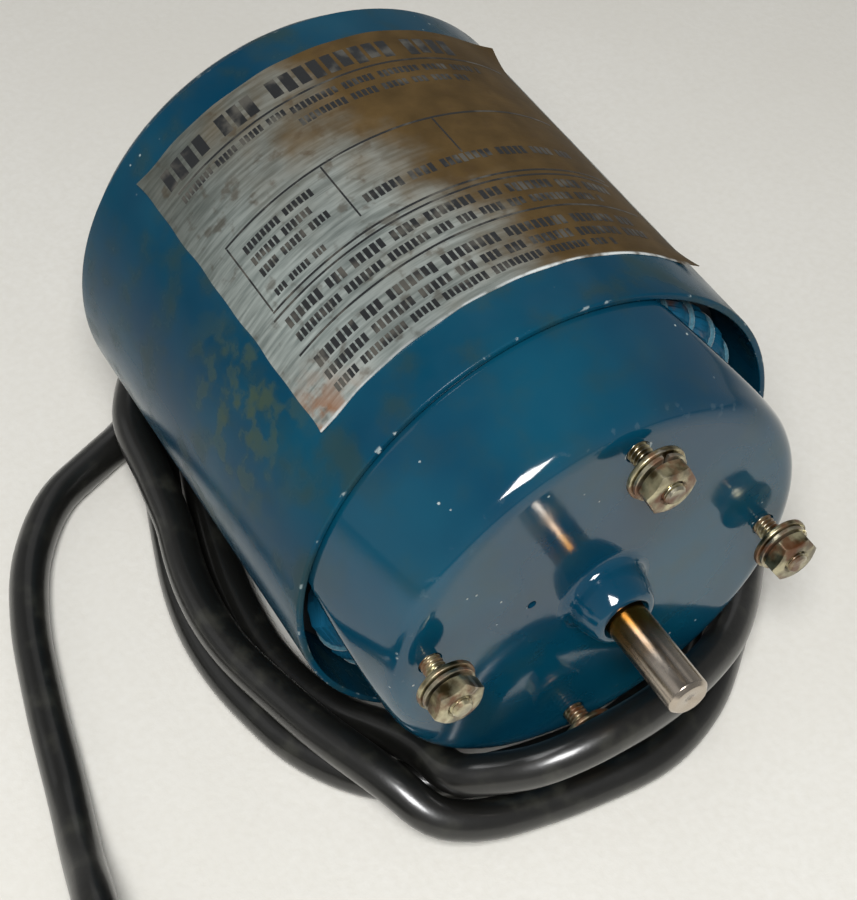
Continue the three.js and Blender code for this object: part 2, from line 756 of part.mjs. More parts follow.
function plugBody() {
  const bore = CORD_R + GAP;
  const moulding = turned(
    [
      [14, 0],
      [14, bore],
      [0, bore],
      [0, 5.6],
      [13, 7],
      [17, 11],
      [20, 12.4],
      [PLUG_BODY_LENGTH - 1, 12.4],
      [PLUG_BODY_LENGTH, 11.4],
      [PLUG_BODY_LENGTH, 0],
    ],
    20,
  );
  const slotX = PLUG_BODY_LENGTH - 3;
  const slots = [-BLADE_Y, BLADE_Y].map((y) => block([8, 1.5 + 2 * GAP, 6.4 + 2 * GAP], [slotX, y, 3]));
  const socket = rod(PLUG_BODY_LENGTH - 7, PLUG_BODY_LENGTH + 1, 2.4 + GAP, 12).translate(0, 0, -6);
  return cut(moulding, ...slots, socket);
}

function addPlug() {
  const plug = new THREE.Group();
  const [x, y, height] = PLUG_MOUTH;
  plug.rotation.z = radians(PLUG_YAW);
  plug.position.set(x, y, TABLE_Z + height);
  motor.add(plug);
  add("plug_body", plugBody(), "blackPlastic", plug);
  [-BLADE_Y, BLADE_Y].forEach((side, i) => {
    const blade = block([23.4, 1.5, 6.4], [PLUG_BODY_LENGTH + 5, side, 3]);
    add(`plug_blade_${i + 1}`, blade, "brass", plug);
  });
  const pin = rod(PLUG_BODY_LENGTH - 6.6, PLUG_BODY_LENGTH + 20, 2.4, 12).translate(0, 0, -6);
  add("ground_pin", pin, "brass", plug);
}

// The three leads fan out from the cord's end inside the rear bell.
function addLeads() {
  const [y, z] = CORD_EXIT;
  const endX = -86.9;
  const rimX = -84.4;
  const round = (from, to, count) =>
    Array.from({ length: count }, (_, i) => [rimX, ...polar(from + ((to - from) * i) / (count - 1), 41.4)]);
  const lead = (start, points) => tube([[endX, ...start], [endX + 1, ...start], ...points], 1.1, 6, 18);
  add("black_lead", lead([y + 2.2, z + 0.6], round(-38, 73, 9)), "blackWire");
  add("white_lead", lead([y - 1.6, z - 1.6], round(-62, -112, 5)), "whiteWire");
  add("green_lead", lead([y - 0.6, z + 2.2], [[-84.6, 15, -24], [-86, 8, -28], [-87, 4, -30]]), "greenWire");
}

function groundScrew() {
  const shank = rod(-90.6, -87.6, 1.6, 10);
  const head = rod(-91.6, -90.4, 3, 12);
  return join(shank, head).translate(0, 5, -27);
}

add("cord_bushing", bushing(), "blackPlastic");
add("power_cord", tube(cordPoints(), CORD_R, 6, 140), "cordJacket");
addPlug();
addLeads();
add("ground_screw", groundScrew(), "brass");

const assembly = new THREE.Group();
assembly.add(motor);
export default assembly;
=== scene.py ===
# The looks of a small blue electric motor with a coiled supply cord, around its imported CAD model.
# Shapes are in millimetres with x counted from the housing's front rim, positive towards the shaft's
# free end. mesh_object() turns them into metres in the frame of the CAD model.

import math
import random

import bmesh
import bpy
import numpy as np
from mathutils import Matrix, Vector


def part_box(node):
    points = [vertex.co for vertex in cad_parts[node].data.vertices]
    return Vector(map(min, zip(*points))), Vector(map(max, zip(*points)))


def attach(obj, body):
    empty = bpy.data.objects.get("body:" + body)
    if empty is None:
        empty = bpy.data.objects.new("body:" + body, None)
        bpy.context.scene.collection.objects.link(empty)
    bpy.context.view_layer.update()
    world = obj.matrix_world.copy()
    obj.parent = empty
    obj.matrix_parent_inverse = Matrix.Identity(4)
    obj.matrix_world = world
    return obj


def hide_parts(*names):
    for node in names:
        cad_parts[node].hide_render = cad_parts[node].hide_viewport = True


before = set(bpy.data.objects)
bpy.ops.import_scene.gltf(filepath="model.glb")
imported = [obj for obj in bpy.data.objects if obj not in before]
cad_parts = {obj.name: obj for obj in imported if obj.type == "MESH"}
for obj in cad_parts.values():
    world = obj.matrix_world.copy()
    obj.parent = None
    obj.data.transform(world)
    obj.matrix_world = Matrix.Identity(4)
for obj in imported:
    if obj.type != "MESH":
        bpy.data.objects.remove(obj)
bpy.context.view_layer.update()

scene = bpy.context.scene
MM = 0.001


# ---- Sizes that come from the frame ----------------------------------------------------------

RIM = np.array([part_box("housing_shell")[1][0] / MM, 0, 0])


def node_box(node):
    """Lowest and highest corner of a CAD node in millimetres, x counted from the front rim."""
    low, high = (np.array(corner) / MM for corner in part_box(node))
    return low - RIM, high - RIM


HOUSING_LENGTH = -node_box("housing_shell")[0][0]
HOUSING_R = node_box("housing_shell")[1][2]
FLOOR_Z = -HOUSING_R
BOSS_TOP_X = node_box("front_end_bell")[1][0]
SHAFT_END_X = node_box("motor_shaft")[1][0]
SHAFT_REAR_X = node_box("motor_shaft")[0][0]
SHAFT_R = node_box("motor_shaft")[1][2]
BUSHING_CENTRE = sum(node_box("cord_bushing")) / 2

# ---- Sizes that follow the CAD part ----------------------------------------------------------

HOUSING_WALL = 1.3
SPIGOT_R = 48.2
SPIGOT_DEPTH = 6
BELL_WALL = 2
FACE_X = BOSS_TOP_X - 7.4
BOSS_R = 7.4
SHAFT_HOLE_R = 4.57
HUB_R = 11
FRONT_HUB_X = 8
OIL_HOLE = (158, 16.5)
OIL_HOLE_R = 0.9
VENT_ANGLES = (33, 200)
VENT_CHORD = 41.5
VENT_SLANT = math.tan(math.radians(7))
VENT_SOFTNESS = 1.1  # rounding along the edge of a pushed-in wall
FACE_EDGE_R = 41.8
BEARING_SEAT_R = 7.5
FRONT_SEAT_X = 20
REAR_DEPTH = 4.5
REAR_FACE_X = -HOUSING_LENGTH - REAR_DEPTH
REAR_HUB_X = -79.5
REAR_SEAT_X = -91.8
CORD_HOLE_R = 6.6
BUSHING_BARREL_R = 6.2

STUD_R = 2.08
STUD_HOLE_R = 2.38
STUD_CIRCLE_R = 35.6
STUD_ANGLES = (84.5, -5.5, 264.5, 174.5)
POLE_ANGLES = tuple(angle + 45 for angle in STUD_ANGLES)
BOLT_HEAD_X = REAR_FACE_X - 0.3
NUT_ACROSS_FLATS = 8.7

STACK_FRONT_X = -14
STACK_REAR_X = -64
END_TURN_GAP = 7.6
COIL_R = 40.4

PLATE_LEFT = 139.5
PLATE_RIGHT = 42
PLATE_REAR_X = -81.3
PLATE_FRONT_X = -11

CORD_R = 4
CORD_BORE_R = CORD_R + 0.1
COIL_CENTRE = (-33, 4)
PLUG_YAW = -9
PLUG_MOUTH = (19.5, -99, 13)
PLUG_LENGTH = 36
PLUG_R = 12.3
BLADE_Y = 6.35


# ---- Shapes: each returns points and faces ----------------------------------------------------

def polar(angle, radius):
    """Two coordinates from an angle in degrees and a radius."""
    return radius * math.cos(math.radians(angle)), radius * math.sin(math.radians(angle))


def ring(x, radii, sides):
    """Points round the X axis. The radius is one number or one for each point, and so is x."""
    angles = np.radians(np.arange(sides) * 360 / sides)
    columns = [x, radii * np.cos(angles), radii * np.sin(angles)]
    return np.stack([np.broadcast_to(column, sides) for column in columns], -1)


def skin(rows, loop_rows=False, loop_columns=True):
    """A surface through rows of points, with four-sided faces."""
    rows = np.asarray(rows, float)
    grid = np.arange(rows.shape[0] * rows.shape[1]).reshape(rows.shape[:2])
    if loop_rows:
        grid = np.vstack([grid, grid[:1]])
    if loop_columns:
        grid = np.hstack([grid, grid[:, :1]])
    corners = [grid[:-1, :-1], grid[1:, :-1], grid[1:, 1:], grid[:-1, 1:]]
    return rows.reshape(-1, 3), np.stack(corners, -1).reshape(-1, 4).tolist()


def combine(shapes):
    """Several shapes as one."""
    points, faces, start = [], [], 0
    for shape_points, shape_faces in shapes:
        points.append(shape_points)
        faces += [[start + corner for corner in face] for face in shape_faces]
        start += len(shape_points)
    return np.vstack(points), faces


def moved(shape, matrix):
    """A shape carried by a 4 x 4 matrix."""
    points, faces = shape
    placed = np.array([matrix @ Vector(point) for point in points])
    return placed, faces


def rolled(shape, angle):
    """A shape turned about the X axis, in degrees."""
    return moved(shape, Matrix.Rotation(math.radians(angle), 4, "X"))


def outline(corners, steps=5):
    """A profile whose corners (x, radius, rounding) are rounded off. The first and last are kept."""
    points = [np.array(corners[0][:2], float)]
    for before, corner, after in zip(corners, corners[1:], corners[2:]):
        tip = np.array(corner[:2], float)
        if corner[2] == 0:
            points.append(tip)
            continue
        start, end = (
            tip + (np.array(near[:2]) - tip) * corner[2] / np.linalg.norm(np.array(near[:2]) - tip)
            for near in (before, after)
        )
        for i in range(steps + 1):
            t = i / steps
            points.append((1 - t) ** 2 * start + 2 * t * (1 - t) * tip + t ** 2 * end)
    points.append(np.array(corners[-1][:2], float))
    return np.array(points)


def densify(points, spacing):
    """The same line with extra points wherever two are further apart than the spacing."""
    dense = [points[:1]]
    for start, end in zip(points, points[1:]):
        count = max(1, math.ceil(np.linalg.norm(end - start) / spacing))
        dense.append(start + (end - start) * np.arange(1, count + 1)[:, None] / count)
    return np.vstack(dense)


def turned(profile, sides=96):
    """An [x, radius] profile turned about the X axis. It starts and ends on the axis or at one point."""
    return skin([ring(x, radius, sides) for x, radius in profile])


def rod(rear, front, radius, sides):
    """A plain round rod along the X axis, used to cut holes."""
    return turned([(rear, 0), (rear, radius), (front, radius), (front, 0)], sides)


def even(path, spacing):
    """The same path with its points at an even spacing."""
    steps = np.linalg.norm(np.diff(path, axis=0), axis=1)
    reach = np.concatenate([[0], np.cumsum(steps)])
    places = np.linspace(0, reach[-1], max(2, round(reach[-1] / spacing)))
    return np.stack([np.interp(places, reach, path[:, k]) for k in range(path.shape[1])], -1)


def smooth_path(points, steps):
    """A curve through the points that stays calm where they are unevenly spaced (centripetal)."""
    points = np.asarray(points, float)
    padded = np.vstack([2 * points[0] - points[1], points, 2 * points[-1] - points[-2]])
    t = np.arange(steps)[:, None] / steps
    spans = []
    for before, start, end, after in zip(padded, padded[1:], padded[2:], padded[3:]):
        gap_in, gap, gap_out = (
            math.sqrt(np.linalg.norm(b - a)) for a, b in ((before, start), (start, end), (end, after))
        )
        leave = (start - before) / gap_in - (end - before) / (gap_in + gap) + (end - start) / gap
        arrive = (end - start) / gap - (after - start) / (gap + gap_out) + (after - end) / gap_out
        leave, arrive = leave * gap, arrive * gap
        square = 3 * (end - start) - 2 * leave - arrive
        cube = 2 * (start - end) + leave + arrive
        spans.append(start + leave * t + square * t ** 2 + cube * t ** 3)
    return np.vstack([*spans, points[-1:]])


def carriers(path, closed=False):
    """Two directions square to a path at each of its points, turning as little as possible."""
    if closed:
        tangents = np.roll(path, -1, 0) - np.roll(path, 1, 0)
    else:
        tangents = np.gradient(path, axis=0)
    tangents /= np.linalg.norm(tangents, axis=1)[:, None]
    side = np.cross(tangents[0], (0, 0, 1) if abs(tangents[0][2]) < 0.9 else (0, 1, 0))
    sides = []
    for tangent in tangents:
        side = side - tangent * (side @ tangent)
        side /= np.linalg.norm(side)
        sides.append(side)
    sides = np.array(sides)
    return sides, np.cross(tangents, sides)


def sweep(path, radius, sides=16, closed=False):
    """A round tube along a path. The radius is one number or one for each point."""
    path = np.asarray(path, float)
    across, up = carriers(path, closed)
    radius = np.broadcast_to(radius, len(path))[:, None, None]
    angles = np.radians(np.arange(sides) * 360 / sides)[None, :, None]
    rows = path[:, None] + radius * (np.cos(angles) * across[:, None] + np.sin(angles) * up[:, None])
    if closed:
        return skin(rows, loop_rows=True)
    ends = [np.repeat(path[[k]][None], sides, 1) for k in (0, -1)]
    return skin(np.concatenate([ends[0], rows, ends[1]]))


def plate(points, thickness):
    """A flat outline in the XY plane, thickened downwards and upwards by half each."""
    points = np.asarray(points, float)
    count = len(points)
    lower = np.column_stack([points, np.full(count, -thickness / 2)])
    upper = np.column_stack([points, np.full(count, thickness / 2)])
    walls = [[i, (i + 1) % count, count + (i + 1) % count, count + i] for i in range(count)]
    caps = [list(range(count))[::-1], list(range(count, 2 * count))]
    return np.vstack([lower, upper]), walls + caps


def capsule(length, width, rear, front, steps=12):
    """A slot cutter: a flat rod with round ends along Z, from rear to front along X."""
    half = (length - width) / 2
    ends = [(half, 0), (-half, 180)]
    rim = [
        (width / 2 * math.cos(math.radians(start + 180 * i / steps)),
         z + width / 2 * math.sin(math.radians(start + 180 * i / steps)))
        for z, start in ends
        for i in range(steps + 1)
    ]
    rows = [[(x, 0, 0)] * len(rim) if flat else [(x, y, z) for y, z in rim]
            for x, flat in ((rear, True), (rear, False), (front, False), (front, True))]
    return skin(rows)


def box_shape(low, high):
    """A box between two corners."""
    points = np.array([[(low, high)[bit][k] for k, bit in enumerate(bits)] for bits in np.ndindex(2, 2, 2)])
    faces = [[0, 1, 3, 2], [4, 6, 7, 5], [0, 4, 5, 1], [2, 3, 7, 6], [0, 2, 6, 4], [1, 5, 7, 3]]
    return points, faces


# ---- Placing pieces ---------------------------------------------------------------------------

SHARP_ANGLE = math.radians(38)


def mesh_object(name, shape):
    """An object in the scene from a shape in millimetres, with shared points merged."""
    points, faces = shape
    mesh = bpy.data.meshes.new(name)
    mesh.from_pydata(((np.asarray(points) + RIM) * MM).tolist(), [], faces)
    work = bmesh.new()
    work.from_mesh(mesh)
    bmesh.ops.remove_doubles(work, verts=work.verts, dist=2e-6)
    bmesh.ops.recalc_face_normals(work, faces=work.faces)
    work.to_mesh(mesh)
    work.free()
    obj = bpy.data.objects.new(name, mesh)
    scene.collection.objects.link(obj)
    return obj


def carve(obj, cutters):
    """Cuts closed shapes out of an object and keeps the result as its mesh."""
    tools = [mesh_object(f"cutter_{i}", cutter) for i, cutter in enumerate(cutters)]
    for tool in tools:
        cut = obj.modifiers.new("cut", "BOOLEAN")
        cut.operation = "DIFFERENCE"
        cut.solver = "EXACT"
        cut.object = tool
    carved = obj.evaluated_get(bpy.context.evaluated_depsgraph_get())
    mesh = bpy.data.meshes.new_from_object(carved)
    obj.modifiers.clear()
    obj.data = mesh
    for tool in tools:
        bpy.data.objects.remove(tool)


def piece(name, shape, finish, nodes=(), body="stator", cutters=()):
    """A finished piece of the motor that stands for the named CAD nodes."""
    obj = mesh_object(name, shape)
    if cutters:
        carve(obj, cutters)
    obj.data.shade_smooth()
    obj.data.set_sharp_from_angle(angle=SHARP_ANGLE)
    obj.data.materials.clear()
    obj.data.materials.append(finish)
    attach(obj, body)
    if nodes:
        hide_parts(*nodes)
    return obj


# ---- Procedural materials ---------------------------------------------------------------------

def linear(code):
    """A colour code such as 0c4b70 as linear red, green, blue and 1."""
    shares = [int(code[k:k + 2], 16) / 255 for k in (0, 2, 4)]
    return *((s / 12.92 if s < 0.04045 else ((s + 0.055) / 1.055) ** 2.4) for s in shares), 1


class Finish:
    """A procedural material: one Principled surface and the nodes that feed it."""

    def __init__(self, name):
        self.material = bpy.data.materials.new(name)
        self.material.use_nodes = True
        self.tree = self.material.node_tree
        self.shader = self.tree.nodes["Principled BSDF"]
        self.place = self.tree.nodes.new("ShaderNodeTexCoord").outputs["Object"]

    def node(self, kind, inputs=(), output=0, **settings):
        """A new node, given as (socket, value) pairs and settings. Returns one of its outputs."""
        node = self.tree.nodes.new(kind)
        for setting, value in settings.items():
            setattr(node, setting, value)
        for socket, value in inputs:
            self.feed(node.inputs[socket], value)
        return node.outputs[output]

    def feed(self, socket, value):
        """Gives a socket a number, a colour code or the output of another node."""
        if isinstance(value, bpy.types.NodeSocket):
            self.tree.links.new(value, socket)
        else:
            socket.default_value = linear(value) if isinstance(value, str) else value

    def surface(self, **values):
        """Sets the surface's own sockets, such as base_color and coat_weight."""
        for label, value in values.items():
            words = label.replace("_", " ").title().replace("Ior", "IOR")
            self.feed(self.shader.inputs[words], value)
        return self.material

    def noise(self, size, detail=4, stretch=(1, 1, 1), seed=0):
        """Soft noise from 0 to 1 with blobs of the given size in millimetres."""
        spot = self.node(
            "ShaderNodeMapping", [("Vector", self.place), ("Location", (seed, 0, 0)), ("Scale", stretch)]
        )
        return self.node(
            "ShaderNodeTexNoise", [("Vector", spot), ("Scale", 1 / (size * MM)), ("Detail", detail)]
        )

    def cells(self, size, feature="F1"):
        """Distance to the middle of random cells of the given size in millimetres."""
        return self.node(
            "ShaderNodeTexVoronoi", [("Vector", self.place), ("Scale", 1 / (size * MM))], feature=feature
        )

    def band(self, value, low, high):
        """0 where the value is below low, 1 where it is above high, smooth between."""
        return self.node(
            "ShaderNodeMapRange",
            [("Value", value), ("From Min", low), ("From Max", high)],
            interpolation_type="SMOOTHSTEP",
        )

    def spread(self, value, low, high):
        """A 0 to 1 value stretched to run from low to high."""
        return self.node("ShaderNodeMapRange", [("Value", value), ("To Min", low), ("To Max", high)])

    def maths(self, operation, first, second=0.0):
        return self.node("ShaderNodeMath", [(0, first), (1, second)], operation=operation)

    def product(self, *values):
        result = values[0]
        for value in values[1:]:
            result = self.maths("MULTIPLY", result, value)
        return result

    def blend(self, share, first, second):
        """One colour turning into another as the share goes from 0 to 1."""
        return self.node(
            "ShaderNodeMix", [("Factor", share), (6, first), (7, second)], output=2, data_type="RGBA"
        )

    def axis(self, letter):
        """A coordinate in millimetres, x counted from the front rim."""
        value = self.node("ShaderNodeSeparateXYZ", [(0, self.place)], output="XYZ".index(letter))
        millimetres = self.maths("MULTIPLY", value, 1 / MM)
        return self.maths("SUBTRACT", millimetres, float(RIM["XYZ".index(letter)]))

    def near(self, point, reach):
        """1 at a point and 0 from reach outwards, both in millimetres."""
        centre = Vector((np.array(point) + RIM) * MM)
        distance = self.node(
            "ShaderNodeVectorMath", [(0, self.place), (1, centre)], output=1, operation="DISTANCE"
        )
        return self.band(distance, reach * MM, 0)

    def facing(self, letter):
        """How much the surface faces along an axis, from -1 to 1."""
        normal = self.node("ShaderNodeNewGeometry", output=1)
        return self.node("ShaderNodeSeparateXYZ", [(0, normal)], output="XYZ".index(letter))

    def edges(self, low=0.52, high=0.6):
        """1 on outer edges and corners, 0 on the flat."""
        return self.band(self.node("ShaderNodeNewGeometry", output=7), low, high)

    def bump(self, height, depth, normal=None):
        """A normal for a height from 0 to 1 that stands the given depth in millimetres."""
        inputs = [("Height", height), ("Distance", depth * MM), ("Strength", 1.0)]
        if normal is not None:
            inputs.append(("Normal", normal))
        return self.node("ShaderNodeBump", inputs)


def blue_paint(name, gloss, shine, grime, dusty):
    """Sprayed blue enamel: glossy, a little wavy, dusty on top and chipped along its edges."""
    f = Finish(name)
    mottle = f.band(f.noise(38, 3), 0.3, 0.7)
    colour = f.blend(mottle, "04344a", "064358")
    dirt_shape = f.band(f.noise(9, 6, seed=3), 0.44, 0.72)
    dirt = f.product(dirt_shape, grime)
    colour = f.blend(dirt, colour, "2c3a2c")
    dirt_patch = f.product(f.near((-30, -43, 24), 26), f.band(f.noise(5, 5, seed=5), 0.45, 0.62), 0.75)
    colour = f.blend(dirt_patch, colour, "3d4a35")
    dust = f.product(f.band(f.facing("Z"), 0.2, 1.0), f.band(f.noise(14, 5, seed=8), 0.35, 0.75), dusty)
    colour = f.blend(dust, colour, "8b918c")
    chips = f.product(f.edges(0.51, 0.545), f.band(f.noise(2.2, 5, seed=1), 0.6, 0.66))
    specks = f.product(f.band(f.cells(3.1), 0.1, 0.06), f.band(f.noise(16, 2, seed=4), 0.6, 0.66))
    bare = f.maths("MAXIMUM", chips, specks)
    colour = f.blend(bare, colour, "9aa6a6")
    worn = f.maths("MAXIMUM", f.maths("MAXIMUM", dirt, dirt_patch), f.product(dust, 4.0))
    roughness = f.spread(worn, gloss, gloss + 0.3)
    peel = f.bump(f.noise(2.6, 2), 0.012)
    waves = f.bump(f.noise(24, 1, seed=6), 0.1, peel)
    chipped = f.bump(f.maths("SUBTRACT", 1.0, bare), 0.06, waves)
    return f.surface(
        base_color=colour, roughness=roughness, ior=1.5, specular_ior_level=shine, normal=chipped,
        coat_weight=0.2 * shine, coat_roughness=gloss * 0.6, coat_normal=waves,
    )


def foil():
    """Silver-grey label foil, stained brown by oil along its right and rear and at one corner, with painted
    shade towards its rear left corner and a painted highlight along its front edge.
    """
    f = Finish("foil_label")
    streaks = f.noise(2.2, 5, stretch=(2.6, 0.25, 0.25))
    silver = f.blend(f.band(streaks, 0.3, 0.7), "8c9692", "c0c9c4")
    left_y, left_z = polar(PLATE_LEFT, HOUSING_R)
    shade = f.product(f.near((PLATE_REAR_X, left_y, left_z), 48), f.spread(f.noise(8, 4, seed=6), 0.5, 1.0))
    silver = f.blend(shade, silver, "3a3c32")
    drift = f.product(f.maths("SUBTRACT", f.noise(14, 4, seed=2), 0.5), 50.0)
    across = f.maths("ADD", f.axis("Y"), drift)
    stain = f.band(f.maths("ADD", across, f.product(f.axis("X"), -0.25)), -22, 16)
    brown = f.blend(f.noise(6, 4, seed=5), "332713", "665130")
    colour = f.blend(stain, silver, brown)
    spots = f.band(f.noise(3.4, 6, seed=7), 0.56, 0.7)
    colour = f.blend(f.product(spots, 0.5), colour, "4b3a24")
    rust = f.product(f.near((PLATE_FRONT_X, left_y, left_z), 17), f.band(f.noise(4, 4, seed=9), 0.32, 0.52))
    colour = f.blend(rust, colour, "80522c")
    # Painted highlight: the foil's front edge is lightened almost to white, as if light were catching it.
    front_edge_highlight = f.band(f.axis("X"), PLATE_FRONT_X - 0.7, PLATE_FRONT_X - 0.2)
    colour = f.blend(f.product(front_edge_highlight, f.band(f.noise(5, 3, seed=4), 0.35, 0.6)), colour, "dfe4e2")
    metal = f.spread(f.maths("MAXIMUM", stain, rust), 0.75, 0.1)
    return f.surface(
        base_color=colour, metallic=metal, roughness=f.spread(stain, 0.34, 0.55),
        specular_ior_level=f.spread(stain, 0.5, 0.12),
        normal=f.bump(streaks, 0.05, f.bump(f.noise(16, 2, seed=3), 0.25)),
    )


def ink():
    """Black print, faded and rubbed in places."""
    f = Finish("label_ink")
    faded = f.band(f.noise(5, 5), 0.48, 0.68)
    return f.surface(base_color=f.blend(faded, "17191b", "4c4a44"), roughness=0.45)


def shaft_steel():
    """Ground steel with fine turning marks, browned by heat and oil next to the bearing."""
    f = Finish("shaft_steel")
    rings = f.noise(0.35, 3, stretch=(1, 0.02, 0.02))
    steel = f.blend(f.noise(5, 4), "a3978a", "cfc5b8")
    patina = f.band(f.maths("ADD", f.axis("X"), f.product(f.noise(5, 4, seed=2), 12.0)), 48, 35)
    gold = f.blend(f.noise(3, 4, seed=4), "7a4216", "b98a3c")
    colour = f.blend(patina, steel, gold)
    return f.surface(
        base_color=colour, metallic=1.0, roughness=f.spread(f.noise(3, 4, seed=1), 0.16, 0.32),
        normal=f.bump(rings, 0.01),
    )


def metal(name, dark, light, roughness, grain=1.2, depth=0.03, rust=0.0):
    """Plain metal whose colour and sheen vary a little, with brighter edges and spots of rust."""
    f = Finish(name)
    colour = f.blend(f.band(f.noise(grain * 3, 5), 0.35, 0.65), dark, light)
    colour = f.blend(f.product(f.edges(), 0.4), colour, "e6e2d4")
    rusty = f.product(f.band(f.noise(4.5, 5, seed=7), 0.46, 0.62), rust)
    colour = f.blend(rusty, colour, "5c3216")
    return f.surface(
        base_color=colour, metallic=f.spread(rusty, 1.0, 0.4),
        roughness=f.spread(f.noise(grain * 2, 4, seed=2), roughness - 0.1, roughness + 0.12),
        normal=f.bump(f.noise(grain, 4, seed=3), depth),
    )


def winding():
    """Enamelled wire, most of it hidden under blue overspray."""
    f = Finish("winding")
    sprayed = f.band(f.noise(7, 4), 0.26, 0.44)
    colour = f.blend(sprayed, "5e3a1c", "125370")
    return f.surface(base_color=colour, roughness=0.3, coat_weight=0.4, normal=f.bump(f.noise(1.5), 0.05))


def stacked_sheets():
    """The edges of thin pressed sheets, one behind the other."""
    f = Finish("laminations")
    sheets = f.node(
        "ShaderNodeTexWave", [("Vector", f.place), ("Scale", 300.0), ("Distortion", 0.4)], bands_direction="X"
    )
    colour = f.blend(f.noise(8, 4), "34373b", "5d6065")
    return f.surface(base_color=colour, metallic=0.85, roughness=0.45, normal=f.bump(sheets, 0.06))


def fibre(name, dark, light):
    """Felt or cotton: short matted fibres."""
    f = Finish(name)
    fuzz = f.noise(0.5, 6, stretch=(1, 0.6, 1.6))
    return f.surface(
        base_color=f.blend(fuzz, dark, light), roughness=0.95,
        sheen_weight=0.4, normal=f.bump(fuzz, 0.2),
    )


def moulded(name, dark, light, roughness, scuff, gloss=0.0):
    """Moulded plastic or rubber with a fine skin, and paler where it has been rubbed."""
    f = Finish(name)
    rubbed = f.product(f.band(f.noise(7, 6), 0.52, 0.75), scuff)
    colour = f.blend(rubbed, dark, light)
    skin_marks = f.bump(f.noise(0.7, 3, seed=1), 0.02)
    return f.surface(
        base_color=colour, roughness=f.spread(f.noise(11, 4, seed=2), roughness - 0.06, roughness + 0.1),
        coat_weight=gloss, coat_roughness=0.16,
        normal=f.bump(f.noise(5, 3, seed=3), 0.08, skin_marks),
    )


FINISHES = {
    "shell_paint": blue_paint("shell_paint", 0.2, 0.1, 0.5, 0.02),
    "bell_paint": blue_paint("bell_paint", 0.08, 0.5, 0.22, 0.01),
    "foil": foil(),
    "ink": ink(),
    "shaft": shaft_steel(),
    "zinc": metal("zinc_hardware", "4c4128", "bdb592", 0.34, depth=0.08, rust=0.85),
    "sheets": stacked_sheets(),
    "winding": winding(),
    "lacing": fibre("lacing", "0c3648", "4d7f8e"),
    "felt": fibre("felt", "9a8f74", "c9bfa3"),
    "copper": metal("copper", "8a4f28", "bb7645", 0.3),
    "bronze": metal("bronze", "7a5c33", "ac8650", 0.4),
    "spring": metal("spring_steel", "54575b", "8a8d92", 0.35),
    "aluminium": metal("cast_aluminium", "8e9196", "bfc2c6", 0.5, grain=2, depth=0.08),
    "plastic": moulded("black_plastic", "121314", "34363a", 0.42, 0.6),
    "jacket": moulded("cord_jacket", "10100e", "34342d", 0.34, 0.6, 0.55),
    "brass": metal("brass_contacts", "8f7334", "c9aa62", 0.28),
    "black_wire": moulded("black_wire", "101010", "2c2c2c", 0.4, 0.5),
    "white_wire": moulded("white_wire", "b9b6aa", "dedbd0", 0.4, 0.5),
    "green_wire": moulded("green_wire", "144a28", "2c7a48", 0.4, 0.5),
}


# ---- Housing and end bells --------------------------------------------------------------------

def housing():
    """A plain tube with soft lips."""
    inner, outer = HOUSING_R - HOUSING_WALL, HOUSING_R
    profile = outline([
        (-HOUSING_LENGTH / 2, inner, 0),
        (-HOUSING_LENGTH, inner, 0.3),
        (-HOUSING_LENGTH, outer, 0.5),
        (0, outer, 0.5),
        (0, inner, 0.3),
        (-HOUSING_LENGTH / 2, inner, 0),
    ])
    return turned(densify(profile, 2), 240)


def pushed_in(x, radius, angles, inset):
    """The radius of the front bell's side once it is pushed in flat at the vents."""
    result = np.full(len(angles), float(radius))
    for vent in VENT_ANGLES:
        turn = np.radians((angles - vent + 180) % 360 - 180)
        chord = VENT_CHORD - inset + VENT_SLANT * x
        limit = np.where(np.abs(turn) < 1.2, chord / np.cos(np.clip(turn, -1.2, 1.2)), 2 * HOUSING_R)
        overlap = np.maximum(VENT_SOFTNESS - np.abs(result - limit), 0) / VENT_SOFTNESS
        result = np.minimum(result, limit) - VENT_SOFTNESS * overlap ** 2 / 4
    return result


def bolt_holes(rear, front):
    """Cutters for the four through bolts."""
    hole = rod(rear, front, STUD_HOLE_R, 32)
    return [moved(hole, Matrix.Translation((0, *polar(angle, STUD_CIRCLE_R)))) for angle in STUD_ANGLES]


def front_bell():
    """The dished front bell with its boss, pushed in flat at the two vents."""
    outer = outline([
        (-SPIGOT_DEPTH, SPIGOT_R - 1, 0),
        (-SPIGOT_DEPTH, SPIGOT_R, 0.4),
        (0.3, SPIGOT_R, 0.8),
        (FACE_X, FACE_EDGE_R, 3.4),
        (FACE_X, BOSS_R + 0.5, 2.0),
        (BOSS_TOP_X - 3.2, BOSS_R, 2.2),
        (BOSS_TOP_X, SHAFT_HOLE_R + 1.3, 0.9),
        (BOSS_TOP_X, SHAFT_HOLE_R, 0.3),
        (FRONT_SEAT_X, SHAFT_HOLE_R, 0),
        (FRONT_SEAT_X, BEARING_SEAT_R, 0),
        (FRONT_HUB_X, BEARING_SEAT_R, 0.3),
        (FRONT_HUB_X, HUB_R, 0.3),
    ], 8)
    inner = outline([
        (FRONT_HUB_X, HUB_R, 0),
        (FACE_X - BELL_WALL, HUB_R, 1),
        (FACE_X - BELL_WALL, FACE_EDGE_R - BELL_WALL, 2.4),
        (0, SPIGOT_R - BELL_WALL, 0.6),
        (-SPIGOT_DEPTH, SPIGOT_R - BELL_WALL, 0.3),
        (-SPIGOT_DEPTH, SPIGOT_R - 1, 0),
    ])
    sides = 288
    angles = np.arange(sides) * 360 / sides
    rows = []
    for profile, inset in ((densify(outer, 1), 0), (densify(inner, 1.5)[1:], BELL_WALL)):
        for x, radius in profile:
            rows.append(ring(x, pushed_in(x, radius, angles, inset), sides))
    return skin(rows, loop_rows=True)


